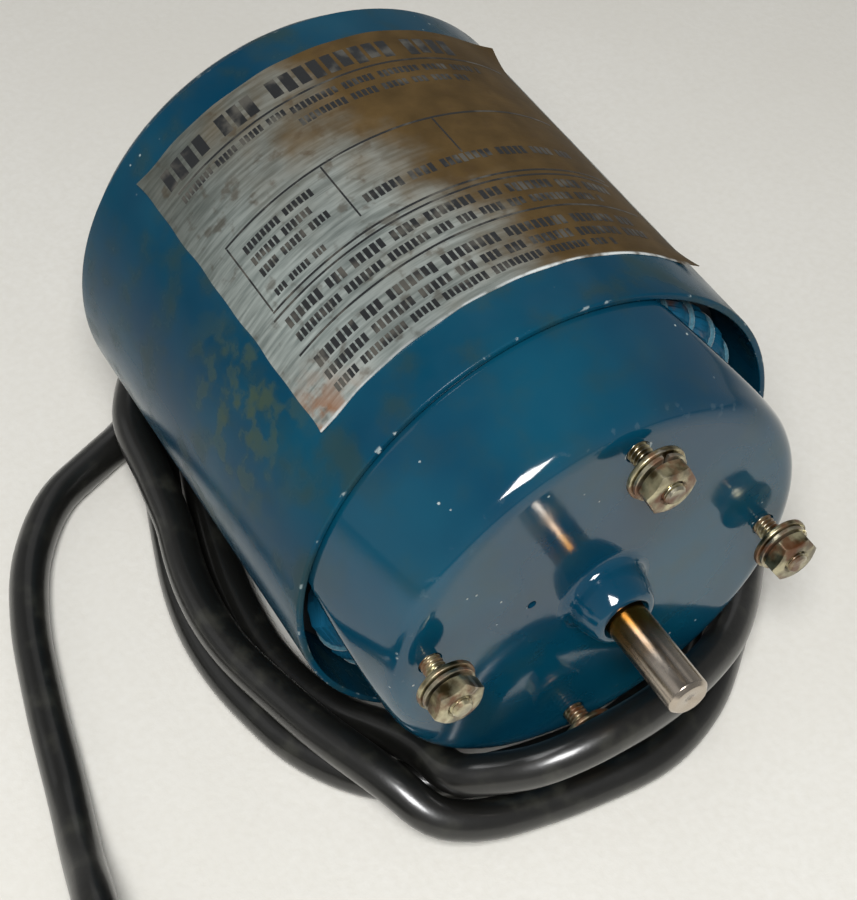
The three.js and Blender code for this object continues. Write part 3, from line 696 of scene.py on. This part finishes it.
def front_bell_cuts():
    """The vents' openings, the oil hole and the bolt holes."""
    gap = box_shape((-SPIGOT_DEPTH - 1, VENT_CHORD - 4, -25), (0.2, HOUSING_R + 10, 25))
    oil = rod(FACE_X - 3, FACE_X + 1, OIL_HOLE_R, 24)
    return [
        *(rolled(gap, vent) for vent in VENT_ANGLES),
        moved(oil, Matrix.Translation((0, *polar(*OIL_HOLE)))),
        *bolt_holes(FACE_X - 4, FACE_X + 1),
    ]


def rear_bell():
    """The shallow rear bell with a raised ring and a domed middle."""
    front = -HOUSING_LENGTH + SPIGOT_DEPTH
    inner = SPIGOT_R - 4
    profile = outline([
        (REAR_HUB_X, 0, 0),
        (REAR_HUB_X, HUB_R, 0.5),
        (REAR_FACE_X + BELL_WALL, HUB_R, 1),
        (REAR_FACE_X + BELL_WALL, inner, 2),
        (front, inner, 0.4),
        (front, SPIGOT_R, 0.4),
        (REAR_FACE_X, SPIGOT_R, 4.2),
        (REAR_FACE_X, 41.5, 0.6),
        (REAR_FACE_X + 0.6, 41, 0.6),
        (REAR_FACE_X + 0.6, 18, 1.2),
        (REAR_FACE_X - 1.6, 14.5, 1.4),
        (REAR_FACE_X - 1.6, 0, 0),
    ], 6)
    return turned(densify(profile, 1.6), 240)


def rear_bell_cuts():
    """Three cooling slots, the cord's hole, the bearing's seat and the bolt holes."""
    vent = moved(capsule(22, 4, REAR_FACE_X - 1, REAR_FACE_X + 4), Matrix.Translation((0, 27, 0)))
    cord_hole = rod(REAR_FACE_X - 1, REAR_FACE_X + 4, CORD_HOLE_R, 40)
    seat = rod(REAR_SEAT_X, REAR_HUB_X + 1, BEARING_SEAT_R, 40)
    return [
        *(rolled(vent, angle) for angle in POLE_ANGLES if angle < 300),
        moved(cord_hole, Matrix.Translation((0, *BUSHING_CENTRE[1:]))),
        seat,
        *bolt_holes(REAR_FACE_X - 1, REAR_FACE_X + 4),
    ]


piece("painted_housing", housing(), FINISHES["shell_paint"], ["housing_shell"])
piece(
    "painted_front_bell", front_bell(), FINISHES["bell_paint"], ["front_end_bell"],
    cutters=front_bell_cuts(),
)
piece(
    "painted_rear_bell", rear_bell(), FINISHES["shell_paint"], ["rear_end_bell"],
    cutters=rear_bell_cuts(),
)


# ---- Nameplate: a thin foil with lifted corners, and plain blocks in place of its print ---------

FOIL_THICK = 0.16
FOIL_R = HOUSING_R + 0.05
PLATE_WIDTH = math.radians(PLATE_LEFT - PLATE_RIGHT) * HOUSING_R
PLATE_LENGTH = PLATE_FRONT_X - PLATE_REAR_X
LIFTED = [(0, 0, 0.9, 7), (1, 0, 1.6, 10), (1, 1, 1.3, 9), (0, 1, 0.35, 6)]  # corner, rise, reach
INK_LOW = FOIL_THICK - 0.02
INK_HIGH = FOIL_THICK + 0.02
RULE = 0.0065
PRINT_ROWS = [  # left, right, distance from the rear edge, height of the print
    (0.05, 0.84, 0.045, 0.075),
    (0.06, 0.36, 0.155, 0.026),
    (0.36, 0.86, 0.165, 0.028),
    (0.36, 0.8, 0.215, 0.028),
    (0.1, 0.3, 0.43, 0.028),
    (0.1, 0.28, 0.475, 0.028),
    (0.1, 0.3, 0.52, 0.028),
    (0.36, 0.9, 0.545, 0.034),
    (0.1, 0.24, 0.6, 0.024),
    (0.08, 0.92, 0.69, 0.036),
    (0.08, 0.86, 0.745, 0.03),
    (0.08, 0.9, 0.835, 0.036),
    (0.08, 0.92, 0.888, 0.032),
    (0.08, 0.78, 0.935, 0.028),
]
LONG_RULES = [(0.07, 0.385), (0.07, 0.645), (0.06, 0.665), (0.06, 0.795), (0.06, 0.135)]  # left, rear
BOX_SIDES = [(0.07, 0.643), (0.33, 0.6), (0.6, 0.54)]  # left, front


def on_plate(across, along, height):
    """A point over the foil. Across runs left to right and along runs rear to front, from 0 to 1."""
    lift = 0.06 * math.sin(across * 23 + along * 5) * math.sin(along * 17)
    for corner_across, corner_along, rise, reach in LIFTED:
        away = math.hypot((across - corner_across) * PLATE_WIDTH, (along - corner_along) * PLATE_LENGTH)
        lift += rise * max(0, 1 - away / reach) ** 2
    angle = PLATE_LEFT + (PLATE_RIGHT - PLATE_LEFT) * across
    x = PLATE_REAR_X + PLATE_LENGTH * along
    return (x, *polar(angle, FOIL_R + max(lift, 0) + height))


def patch(left, right, rear, front, low, high, wander=0.0):
    """A closed sheet over part of the plate, between two heights. Its edges may wander a little."""
    columns = max(2, math.ceil((right - left) * PLATE_WIDTH / 1.3)) + 1
    lines = max(2, math.ceil((front - rear) * PLATE_LENGTH / 1.6)) + 1
    sheets = []
    for height in (low, high):
        sheet = []
        for j in range(lines):
            t = j / (lines - 1)
            drift = wander * math.sin(9 * t + 2) * math.sin(31 * t)
            row = []
            for i in range(columns):
                s = i / (columns - 1)
                slip = wander * math.sin(11 * s + 1) * math.sin(37 * s)
                across = left + drift + (right - left) * s
                row.append(on_plate(across, rear + slip + (front - rear) * t, height))
            sheet.append(row)
        sheets.append(np.array(sheet))
    return closed_sheet(*sheets)


def closed_sheet(lower, upper):
    """Two layers of points joined round their rim into one closed body."""
    lower_shape = skin(lower, loop_columns=False)
    upper_shape = skin(upper, loop_columns=False)
    rims = [np.concatenate([s[0], s[1:, -1], s[-1, -2::-1], s[-2:0:-1, 0]]) for s in (lower, upper)]
    return combine([lower_shape, upper_shape, skin(np.array(rims))])


def print_row(rng, left, right, rear, height, words):
    """A line of print suggested by short blocks, grouped like words. They aren't letters."""
    blocks = []
    width = height * PLATE_LENGTH * 0.55 / PLATE_WIDTH
    place = left
    for _ in range(words):
        for _ in range(rng.randint(3, 9)):
            if place + width > right:
                return blocks
            tall = height * rng.uniform(0.86, 1.0)
            blocks.append(patch(place, place + width * 0.72, rear, rear + tall, INK_LOW, INK_HIGH))
            place += width
        place += width * 0.9
    return blocks


def plate_print():
    """All the rules and rows of blocks, as one shape."""
    rng = random.Random(4)
    bars = [patch(left, 0.95, rear, rear + RULE, INK_LOW, INK_HIGH) for left, rear in LONG_RULES]
    bars += [patch(left, left + 0.004, 0.393, front, INK_LOW, INK_HIGH) for left, front in BOX_SIDES]
    for left, right, rear, height in PRINT_ROWS:
        bars += print_row(rng, left, right, rear, height, 12)
    return combine(bars)


piece(
    "nameplate_foil", patch(0, 1, 0, 1, 0, FOIL_THICK, 0.0022), FINISHES["foil"],
    ["nameplate"],
)
piece("nameplate_print", plate_print(), FINISHES["ink"])


# ---- Shaft ------------------------------------------------------------------------------------

def shaft():
    """A ground bar with a chamfer and a small centre mark at its free end."""
    profile = outline([
        (SHAFT_REAR_X, 0, 0),
        (SHAFT_REAR_X, SHAFT_R, 0.7),
        (-2, SHAFT_R, 0),
        (SHAFT_END_X - 0.8, SHAFT_R, 0.15),
        (SHAFT_END_X, SHAFT_R - 0.75, 0.2),
        (SHAFT_END_X, 0.9, 0),
        (SHAFT_END_X - 0.7, 0, 0),
    ])
    return turned(densify(profile, 2.5), 96)


piece("ground_shaft", shaft(), FINISHES["shaft"], ["motor_shaft"], body="rotor")


# ---- Through bolts, washers and nuts ----------------------------------------------------------

THREAD_PITCH = 0.79
THREAD_DEPTH = 0.38
THREAD_START_X = 12


def bolt(tip_x):
    """A slotted screw as long as the motor, threaded where it comes out of the front bell."""
    top_x = BOLT_HEAD_X - 2.6
    shank_r = 1.9
    head = outline([(top_x, 0, 0), (top_x, 3.2, 1.2), (BOLT_HEAD_X, 4, 0.2), (BOLT_HEAD_X, shank_r, 0)])
    tip = [(tip_x - 0.45, STUD_R - 0.1), (tip_x, STUD_R - 0.5), (tip_x, 0)]
    sides = 40
    turns = np.arange(sides) / sides
    rows = [ring(x, radius, sides) for x, radius in [*head, (THREAD_START_X - 1, shank_r)]]
    for x in np.arange(THREAD_START_X, tip_x - 0.5, THREAD_PITCH / 8):
        tooth = np.abs(2 * ((x / THREAD_PITCH - turns) % 1) - 1)
        rows.append(ring(x, STUD_R - THREAD_DEPTH * np.clip(1.25 * tooth - 0.12, 0, 1), sides))
    rows += [ring(x, radius, sides) for x, radius in tip]
    return skin(rows)


def flat_washer(rear, front, inner, outer):
    """A punched washer with soft edges."""
    soft = (front - rear) * 0.3
    profile = outline([
        (rear, (inner + outer) / 2, 0),
        (rear, inner, soft * 0.5),
        (front, inner, soft * 0.5),
        (front, outer, soft),
        (rear, outer, soft),
        (rear, (inner + outer) / 2, 0),
    ], 3)
    return turned(profile, 64)


def split_washer(rear, front, inner, outer):
    """A spring washer: one turn of square bar whose ends stand a little apart."""
    depth, width, cut_off = front - rear - 0.2, outer - inner, 0.16
    section = [
        (0, cut_off), (0, width - cut_off), (cut_off, width), (depth - cut_off, width),
        (depth, width - cut_off), (depth, cut_off), (depth - cut_off, 0), (cut_off, 0),
    ]
    rows = []
    for share in np.linspace(0, 1, 61):
        rise = rear + 0.2 * share
        rows.append([(rise + x, *polar(6 + 348 * share, inner + radius)) for x, radius in section])
    caps = [[tuple(np.mean(rows[k], axis=0))] * len(section) for k in (0, -1)]
    return skin([caps[0], *rows, caps[1]])


def hex_nut(rear, front, flats, bore):
    """A hexagon nut with its corners chamfered on both faces."""
    sides = 144
    angles = np.arange(sides) * 360 / sides
    flat = flats / 2 / np.cos(np.radians((angles + 30) % 60 - 30))
    edge = np.minimum(flat, flats / math.sqrt(3) * 0.985)
    shoulder = flats / 2 * 0.94
    chamfer = (edge - shoulder) * math.tan(math.radians(30))
    middle = (bore + shoulder) / 2
    profile = [
        (rear, middle),
        (rear, shoulder),
        (rear + chamfer, edge),
        (rear + chamfer + 0.15, edge + 0.02),
        (front - chamfer - 0.15, edge + 0.02),
        (front - chamfer, edge),
        (front, shoulder),
        (front, bore + 0.45),
        (front - 0.4, bore),
        (rear + 0.4, bore),
        (rear, bore + 0.45),
        (rear, middle),
    ]
    return turned(profile, sides)


def add_fastener(number, angle):
    """One bolt with its flat washer, lock washer and nut, placed where the CAD nut is."""
    low, high = node_box(f"stud_nut_{number}")
    spin = Matrix.Rotation(math.radians(angle + 37 * (number - 1)), 4, "X")
    place = Matrix.Translation((0, *polar(angle, STUD_CIRCLE_R))) @ spin
    tip_x = node_box(f"through_bolt_{number}")[1][0]
    flat_low, flat_high = node_box(f"flat_washer_{number}")
    lock_low, lock_high = node_box(f"lock_washer_{number}")
    slot = box_shape((BOLT_HEAD_X - 3.6, -5, -0.5), (BOLT_HEAD_X - 1.6, 5, 0.5))
    washer_r = (flat_high[2] - flat_low[2]) / 2
    shapes = {
        "bolt": ("through_bolt", bolt(tip_x)),
        "washer": ("flat_washer", flat_washer(flat_low[0], flat_high[0], STUD_HOLE_R, washer_r)),
        "spring_washer": (
            "lock_washer", split_washer(lock_low[0], lock_high[0], STUD_HOLE_R, washer_r - 0.5)
        ),
        "nut": ("stud_nut", hex_nut(low[0], high[0], NUT_ACROSS_FLATS, STUD_R + 0.05)),
    }
    for name, (node, shape) in shapes.items():
        piece(
            f"{name}_{number}", moved(shape, place), FINISHES["zinc"],
            [f"{node}_{number}"], cutters=[moved(slot, place)] if name == "bolt" else (),
        )


for index, stud_angle in enumerate(STUD_ANGLES):
    add_fastener(index + 1, stud_angle)


# ---- Field coils: wires wound round each pole and laced together at the ends --------------------

WIRES = 22
LACING_ANGLES = (-17, -6, 5, 16)
LACING_SPACING = 11
LACING_R = 5.2


def coil_path():
    """The middle of a coil's bundle, round a pole that points along +Y."""
    front, rear = STACK_FRONT_X + END_TURN_GAP, STACK_REAR_X - END_TURN_GAP
    arc = [polar(angle, COIL_R) for angle in (-21, -14, -7, 0, 7, 14, 21)]
    leg = (34, 12.8)
    corners = [(front, *point) for point in arc]
    corners += [(STACK_FRONT_X - 1, leg[0] + 1, leg[1]), (STACK_FRONT_X - 8, *leg)]
    corners += [(STACK_REAR_X + 8, *leg), (STACK_REAR_X + 1, leg[0] + 1, leg[1])]
    corners += [(rear, *point) for point in arc[::-1]]
    corners += [(x, y, -z) for x, y, z in corners[len(arc) + 3:len(arc) - 1:-1]]
    around = corners[-3:] + corners + corners[:3]
    path = even(smooth_path(around, 12), 2)
    starts = np.linalg.norm(path - np.array(corners[0]), axis=1)
    half = len(path) // 2
    return path[int(np.argmin(starts[:half])):half + int(np.argmin(starts[half:]))]


def bundle_radius(path):
    """The bundle is thin in the slots and swells between the lacings where it crosses a pole."""
    outside = np.maximum(path[:, 0] - STACK_FRONT_X, STACK_REAR_X - path[:, 0])
    share = np.clip(outside / 5, 0, 1)
    share = share * share * (3 - 2 * share)
    across = np.degrees(np.arctan2(path[:, 2], path[:, 1]))
    pinch = 0.5 + 0.5 * np.cos(2 * math.pi * (across - LACING_ANGLES[0]) / LACING_SPACING)
    return 2.9 + (2.9 - 0.9 * pinch) * share


def field_coil(rng):
    """A solid core with wires wandering along its surface."""
    path = coil_path()
    thick = bundle_radius(path)
    across, up = carriers(path, closed=True)
    reach = np.linspace(0, 1, len(path), endpoint=False)
    fade = np.sin(math.pi * reach) ** 0.5
    shapes = [sweep(path, thick * 0.82, 14, closed=True)]
    for wire in range(WIRES):
        wander = sum(
            rng.uniform(0.03, 0.14) * np.sin(2 * math.pi * rng.randint(2, 9) * reach + rng.uniform(0, 6))
            for _ in range(3)
        )
        turn = 2 * math.pi * wire / WIRES + wander * fade
        bulge = thick * (0.84 + 0.05 * np.sin(2 * math.pi * rng.randint(3, 8) * reach) * fade)
        line = path + bulge[:, None] * (np.cos(turn)[:, None] * across + np.sin(turn)[:, None] * up)
        shapes.append(sweep(line, thick * 0.15, 6, closed=True))
    return combine(shapes)


def lacing(rng):
    """Turns of cotton cord round the front and rear bundles."""
    shapes = []
    for x, side in ((STACK_FRONT_X + END_TURN_GAP, 1), (STACK_REAR_X - END_TURN_GAP, -1)):
        for angle in LACING_ANGLES:
            lean = rng.uniform(-0.18, 0.18)
            loop = []
            for step in range(28):
                turn = 2 * math.pi * step / 28
                radius = COIL_R + LACING_R * math.cos(turn)
                y, z = polar(angle + math.degrees(lean * math.sin(turn) * 5 / 40), radius)
                loop.append((x + side * LACING_R * math.sin(turn), y, z))
            shapes.append(sweep(loop, 0.5, 8, closed=True))
    return combine(shapes)


for index, pole in enumerate(POLE_ANGLES):
    coil_rng = random.Random(10 + index)
    coil = rolled(field_coil(coil_rng), pole)
    piece(f"wound_coil_{index + 1}", coil, FINISHES["winding"], [f"field_coil_{index + 1}"])
    piece(f"coil_lacing_{index + 1}", rolled(lacing(coil_rng), pole), FINISHES["lacing"])


# ---- Supply cord, bushing and plug --------------------------------------------------------------

LYING = CORD_R + 0.05
CORD_BEND = [(-107, 18.5, -26.4), (-111, 10, -27), (-112, -2, -28.5), (-109.5, -14, -30), (-104.5, -26, -32)]
COIL_STATIONS = [  # degrees round the coil, radius, and the middle's height where it isn't lying
    (212, 77, 17), (222, 72.4, 15.9), (232, 64, 14), (243, 58.6, 12.9), (252, 57.2, 12.4),
    (276, 56.6, 12.3), (293, 57.4, 12.3), (310, 62, 12.5), (318, 65.8, 12), (325, 69.6, 9.2),
    (331, 69.2, 7), (342, 66, 4.6), (352, 64.6), (366, 64.5), (379, 62.4), (390, 59.8), (405, 57.8),
    (420, 55.3), (450, 52), (475, 53), (495, 57.6), (518, 64.8), (540, 68), (558, 68), (572, 64.9),
    (582, 58), (592, 53.2), (602, 50.2), (612, 48.6), (625, 47.8), (638, 48.4), (650, 49.2),
    (664, 50.6, 5.2), (674, 52.8, 8.6), (682, 57.2, 12), (688, 63.8, 14.6), (694, 65.3, 16.8),
    (701, 66.6, 20), (708, 66.4, 22.2), (715, 65.4, 22.8), (726, 63.2, 20.3), (736, 61.9, 18),
    (746, 61, 16), (757, 59.4, 13.8), (766, 58.6, 12.8), (777, 60, 11.2), (790, 62.2, 8),
    (804, 62.6, 4.6), (815, 62), (835, 62), (855, 67), (880, 74.6), (900, 77), (920, 75.1, 8.4),
    (932, 71.4, 9.9), (942, 66.8, 8), (952, 62.4, 5), (962, 59.6), (975, 58.2), (993, 58), (1007, 58.6),
    (1017, 59.9), (1026, 60.6), (1034, 60.6), (1042, 59.6), (1053, 57.6), (1068, 55.6), (1082, 55),
    (1100, 53), (1115, 49.9), (1130, 47.8), (1144, 46.6, 5.8), (1157, 46.8, 10), (1170, 49.4, 12.2),
    (1185, 53, 12.5), (1205, 61.4, 12.6), (1222, 71.8, 11.9), (1236, 80, 9.2), (1250, 85, 5),
    (1262, 85.8), (1280, 83), (1292, 77.4),
]
CORD_LEAD = [
    (-93, -44.4, LYING), (-89.4, -52.6, LYING), (-83.6, -64.7, LYING), (-72, -75, LYING),
    (-57.9, -81.6, LYING), (-38.7, -86.9, LYING), (-16, -91.8, LYING), (-2, -95, 7), (8.5, -97.1, 11.2),
]


def cord_path():
    """The middle of the cord: out of the bushing, round the motor, and over to the plug."""
    exit_y, exit_z = BUSHING_CENTRE[1:]
    straight = [(x, exit_y, exit_z) for x in (-88, -94, -100)]
    stations = [(angle, radius, *(height or [LYING])) for angle, radius, *height in COIL_STATIONS]
    coil = []
    for angle, radius, height in smooth_path(stations, 3):
        across, along = polar(angle, radius)
        coil.append((COIL_CENTRE[0] + across, COIL_CENTRE[1] + along, FLOOR_Z + height))
    plug_x, plug_y, plug_height = PLUG_MOUTH
    lead = list(CORD_LEAD)
    for distance in (-4, 0, 6, 12):
        across, along = polar(PLUG_YAW, distance)
        lead.append((plug_x + across, plug_y + along, plug_height))
    lying = [(x, y, FLOOR_Z + height) for x, y, height in lead]
    path = even(smooth_path([*straight, *CORD_BEND, *coil, *lying], 6), 2)
    path[:, 2] = np.maximum(path[:, 2], FLOOR_Z + CORD_R)
    return path


def cord():
    """The jacket swells very slightly in a slow spiral over the three leads inside it."""
    path = cord_path()
    reach = np.arange(len(path)) * 2
    swell = CORD_R - 0.03 + 0.03 * np.sin(reach / 7)
    return sweep(path, swell, 24)


def bushing():
    """A snap-in strain relief with finger grooves."""
    middle = (CORD_BORE_R + BUSHING_BARREL_R) / 2
    profile = outline([
        (REAR_FACE_X + 3, middle, 0),
        (REAR_FACE_X + 3, BUSHING_BARREL_R, 0.4),
        (REAR_FACE_X - 0.3, BUSHING_BARREL_R, 0),
        (REAR_FACE_X - 0.3, 8.2, 0.5),
        (REAR_FACE_X - 2, 8, 0.8),
        (REAR_FACE_X - 2.6, 5.9, 0.4),
        (REAR_FACE_X - 3.4, 5.9, 0.3),
        (REAR_FACE_X - 3.7, 5.4, 0.2),
        (REAR_FACE_X - 4.2, 5.8, 0.2),
        (REAR_FACE_X - 5, 5.4, 0.4),
        (REAR_FACE_X - 5, CORD_BORE_R, 0.2),
        (REAR_FACE_X + 3, CORD_BORE_R, 0.2),
        (REAR_FACE_X + 3, middle, 0),
    ], 4)
    return moved(turned(profile, 64), Matrix.Translation((0, *BUSHING_CENTRE[1:])))


PLUG_PLACE = Matrix.Translation((*PLUG_MOUTH[:2], FLOOR_Z + PLUG_MOUTH[2])) @ Matrix.Rotation(
    math.radians(PLUG_YAW), 4, "Z"
)


def plug_body():
    """A moulded plug: a ribbed neck that widens into a body with flattened, grooved sides."""
    profile = outline([
        (0, CORD_BORE_R, 0),
        (0, 5.6, 0.6),
        (13, 7, 2),
        (17, 11, 2),
        (20, PLUG_R, 2),
        (PLUG_LENGTH - 1, PLUG_R, 1.4),
        (PLUG_LENGTH, 0, 0),
    ], 6)
    sides = 96
    angles = np.arange(sides) * 360 / sides
    flattened = np.abs(np.sin(np.radians(angles))) < 0.75
    bore_end = 12.0
    rows = [ring(bore_end, 0, sides), ring(bore_end, CORD_BORE_R, sides)]
    for x, radius in densify(profile, 0.4):
        neck = 0.35 * max(0, math.sin(x * 2.1)) if 1 < x < bore_end else 0
        grip = np.where(flattened, 0.9, 0) if 20 < x < 32 else 0
        ribs = grip * (0.5 - 0.5 * math.cos(x * 2.1 * 1.5))
        rows.append(ring(x, radius - neck - ribs, sides))
    return skin(rows)


def blade(side):
    """A flat contact with a rounded tip and a hole near its end."""
    tip = PLUG_LENGTH + 16.7
    base = PLUG_LENGTH - 6.7
    half, corner = 3.2, 2
    rim = [(base, -half), (tip - corner, -half)]
    for turn in np.linspace(0.2, math.pi / 2, 6):
        rim.append((tip - corner + corner * math.sin(turn), corner - half - corner * math.cos(turn)))
    rim += [(x, -y) for x, y in rim[::-1]]
    upright = Matrix.Translation((0, side, 3)) @ Matrix.Rotation(math.pi / 2, 4, "X")
    hole = moved(
        rod(-2, 2, 1.5, 24),
        Matrix.Translation((tip - 5, side, 3)) @ Matrix.Rotation(math.pi / 2, 4, "Z"),
    )
    return moved(moved(plate(rim, 1.5), upright), PLUG_PLACE), [moved(hole, PLUG_PLACE)]


def ground_pin():
    """A round pin with a domed tip."""
    rear, front, radius = PLUG_LENGTH - 6.6, PLUG_LENGTH + 20, 2.4
    profile = outline([(rear, 0, 0), (rear, radius, 0.3), (front, radius, 2.2), (front, 0, 0)], 8)
    pin = moved(turned(densify(profile, 2), 40), Matrix.Translation((0, 0, -6)))
    return moved(pin, PLUG_PLACE)


piece("smooth_cord", cord(), FINISHES["jacket"], ["power_cord"])
piece("strain_relief", bushing(), FINISHES["plastic"], ["cord_bushing"])
piece("moulded_plug", moved(plug_body(), PLUG_PLACE), FINISHES["plastic"], ["plug_body"])
for index, side_y in enumerate((-BLADE_Y, BLADE_Y)):
    blade_shape, blade_cuts = blade(side_y)
    piece(
        f"contact_{index + 1}", blade_shape, FINISHES["brass"], [f"plug_blade_{index + 1}"],
        cutters=blade_cuts,
    )
piece("earth_contact", ground_pin(), FINISHES["brass"], ["ground_pin"])


# ---- CAD nodes that keep their own shape ---------------------------------------------------------

KEPT_NODES = {
    "sheets": ("stator_core", "rotor_core"),
    "copper": ("shading_ring",),
    "plastic": ("thermal_protector",),
    "bronze": ("front_sleeve_bearing", "rear_sleeve_bearing", "front_thrust_washer", "rear_thrust_washer"),
    "felt": ("front_oil_felt", "rear_oil_felt"),
    "spring": ("front_bearing_retainer", "rear_bearing_retainer", "front_shaft_clip", "rear_shaft_clip"),
    "aluminium": ("squirrel_cage", "cooling_fan"),
    "black_wire": ("black_lead",),
    "white_wire": ("white_lead",),
    "green_wire": ("green_lead",),
    "brass": ("ground_screw",),
}

for finish_name, starts in KEPT_NODES.items():
    for node_name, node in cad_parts.items():
        if node_name.startswith(starts):
            node.data.materials.clear()
            node.data.materials.append(FINISHES[finish_name])


# ---- Floor, light and camera ---------------------------------------------------------------------

FLOOR_REACH = 20000
LIGHT_AIM = (-0.09, 0, 0)
CAMERA_AIM = (-0.0651, -0.0130, 0.0065)
CAMERA_ROLL = math.radians(1.29)
LENS = 80.87


def floor():
    """A pale matt sheet with a faint speckle."""
    f = Finish("floor")
    speckle = f.noise(1.6, 5)
    cloudy = f.noise(60, 3, seed=2)
    colour = f.blend(f.product(speckle, cloudy), "d9d6cd", "ebeae5")
    material = f.surface(base_color=colour, roughness=0.85, normal=f.bump(speckle, 0.08))
    corners = [(x, y, FLOOR_Z) for x, y in ((-1, -1), (1, -1), (1, 1), (-1, 1))]
    sheet = mesh_object("floor", (np.array(corners) * (FLOOR_REACH, FLOOR_REACH, 1), [[0, 1, 2, 3]]))
    sheet.data.materials.append(material)


def aimed(azimuth, elevation, distance, aim):
    """Where something stands that looks at a point from a direction, and how it is turned."""
    out = Vector((
        math.cos(math.radians(elevation)) * math.cos(math.radians(azimuth)),
        math.cos(math.radians(elevation)) * math.sin(math.radians(azimuth)),
        math.sin(math.radians(elevation)),
    ))
    return Vector(aim) + out * distance, out.to_track_quat("Z", "Y")


def soft_light(name, azimuth, elevation, distance, width, height, power):
    """A rectangular lamp that looks at the motor."""
    lamp = bpy.data.lights.new(name, "AREA")
    lamp.shape = "RECTANGLE"
    lamp.size = width
    lamp.size_y = height
    lamp.energy = power
    obj = bpy.data.objects.new(name, lamp)
    obj.rotation_mode = "QUATERNION"
    obj.location, obj.rotation_quaternion = aimed(azimuth, elevation, distance, LIGHT_AIM)
    scene.collection.objects.link(obj)


def room():
    """A grey room that is paler towards the horizon."""
    world = bpy.data.worlds.new("room")
    world.use_nodes = True
    nodes, links = world.node_tree.nodes, world.node_tree.links
    height = nodes.new("ShaderNodeSeparateXYZ")
    links.new(nodes.new("ShaderNodeTexCoord").outputs["Generated"], height.inputs[0])
    ramp = nodes.new("ShaderNodeValToRGB")
    links.new(height.outputs[2], ramp.inputs[0])
    ramp.color_ramp.elements[0].color = (0.34, 0.34, 0.33, 1)
    ramp.color_ramp.elements[1].color = (0.1, 0.1, 0.105, 1)
    links.new(ramp.outputs[0], nodes["Background"].inputs[0])
    scene.world = world


def camera():
    """The view from above the shaft's end, turned slightly about its own axis."""
    data = bpy.data.cameras.new("camera")
    data.lens = LENS
    obj = bpy.data.objects.new("camera", data)
    obj.rotation_mode = "QUATERNION"
    obj.location, upright = aimed(-31.58, 49.27, 0.3675, CAMERA_AIM)
    obj.rotation_quaternion = upright @ Matrix.Rotation(CAMERA_ROLL, 3, "Z").to_quaternion()
    scene.collection.objects.link(obj)
    scene.camera = obj


floor()
room()
soft_light("key", -33, 54, 0.8, 0.26, 0.26, 7.4)
soft_light("rear_fill", 150, 42, 1.8, 1.4, 1.0, 1.6)
soft_light("side_fill", -120, 35, 1.8, 1.2, 0.9, 1.2)
camera()
scene.view_settings.view_transform = "Standard"
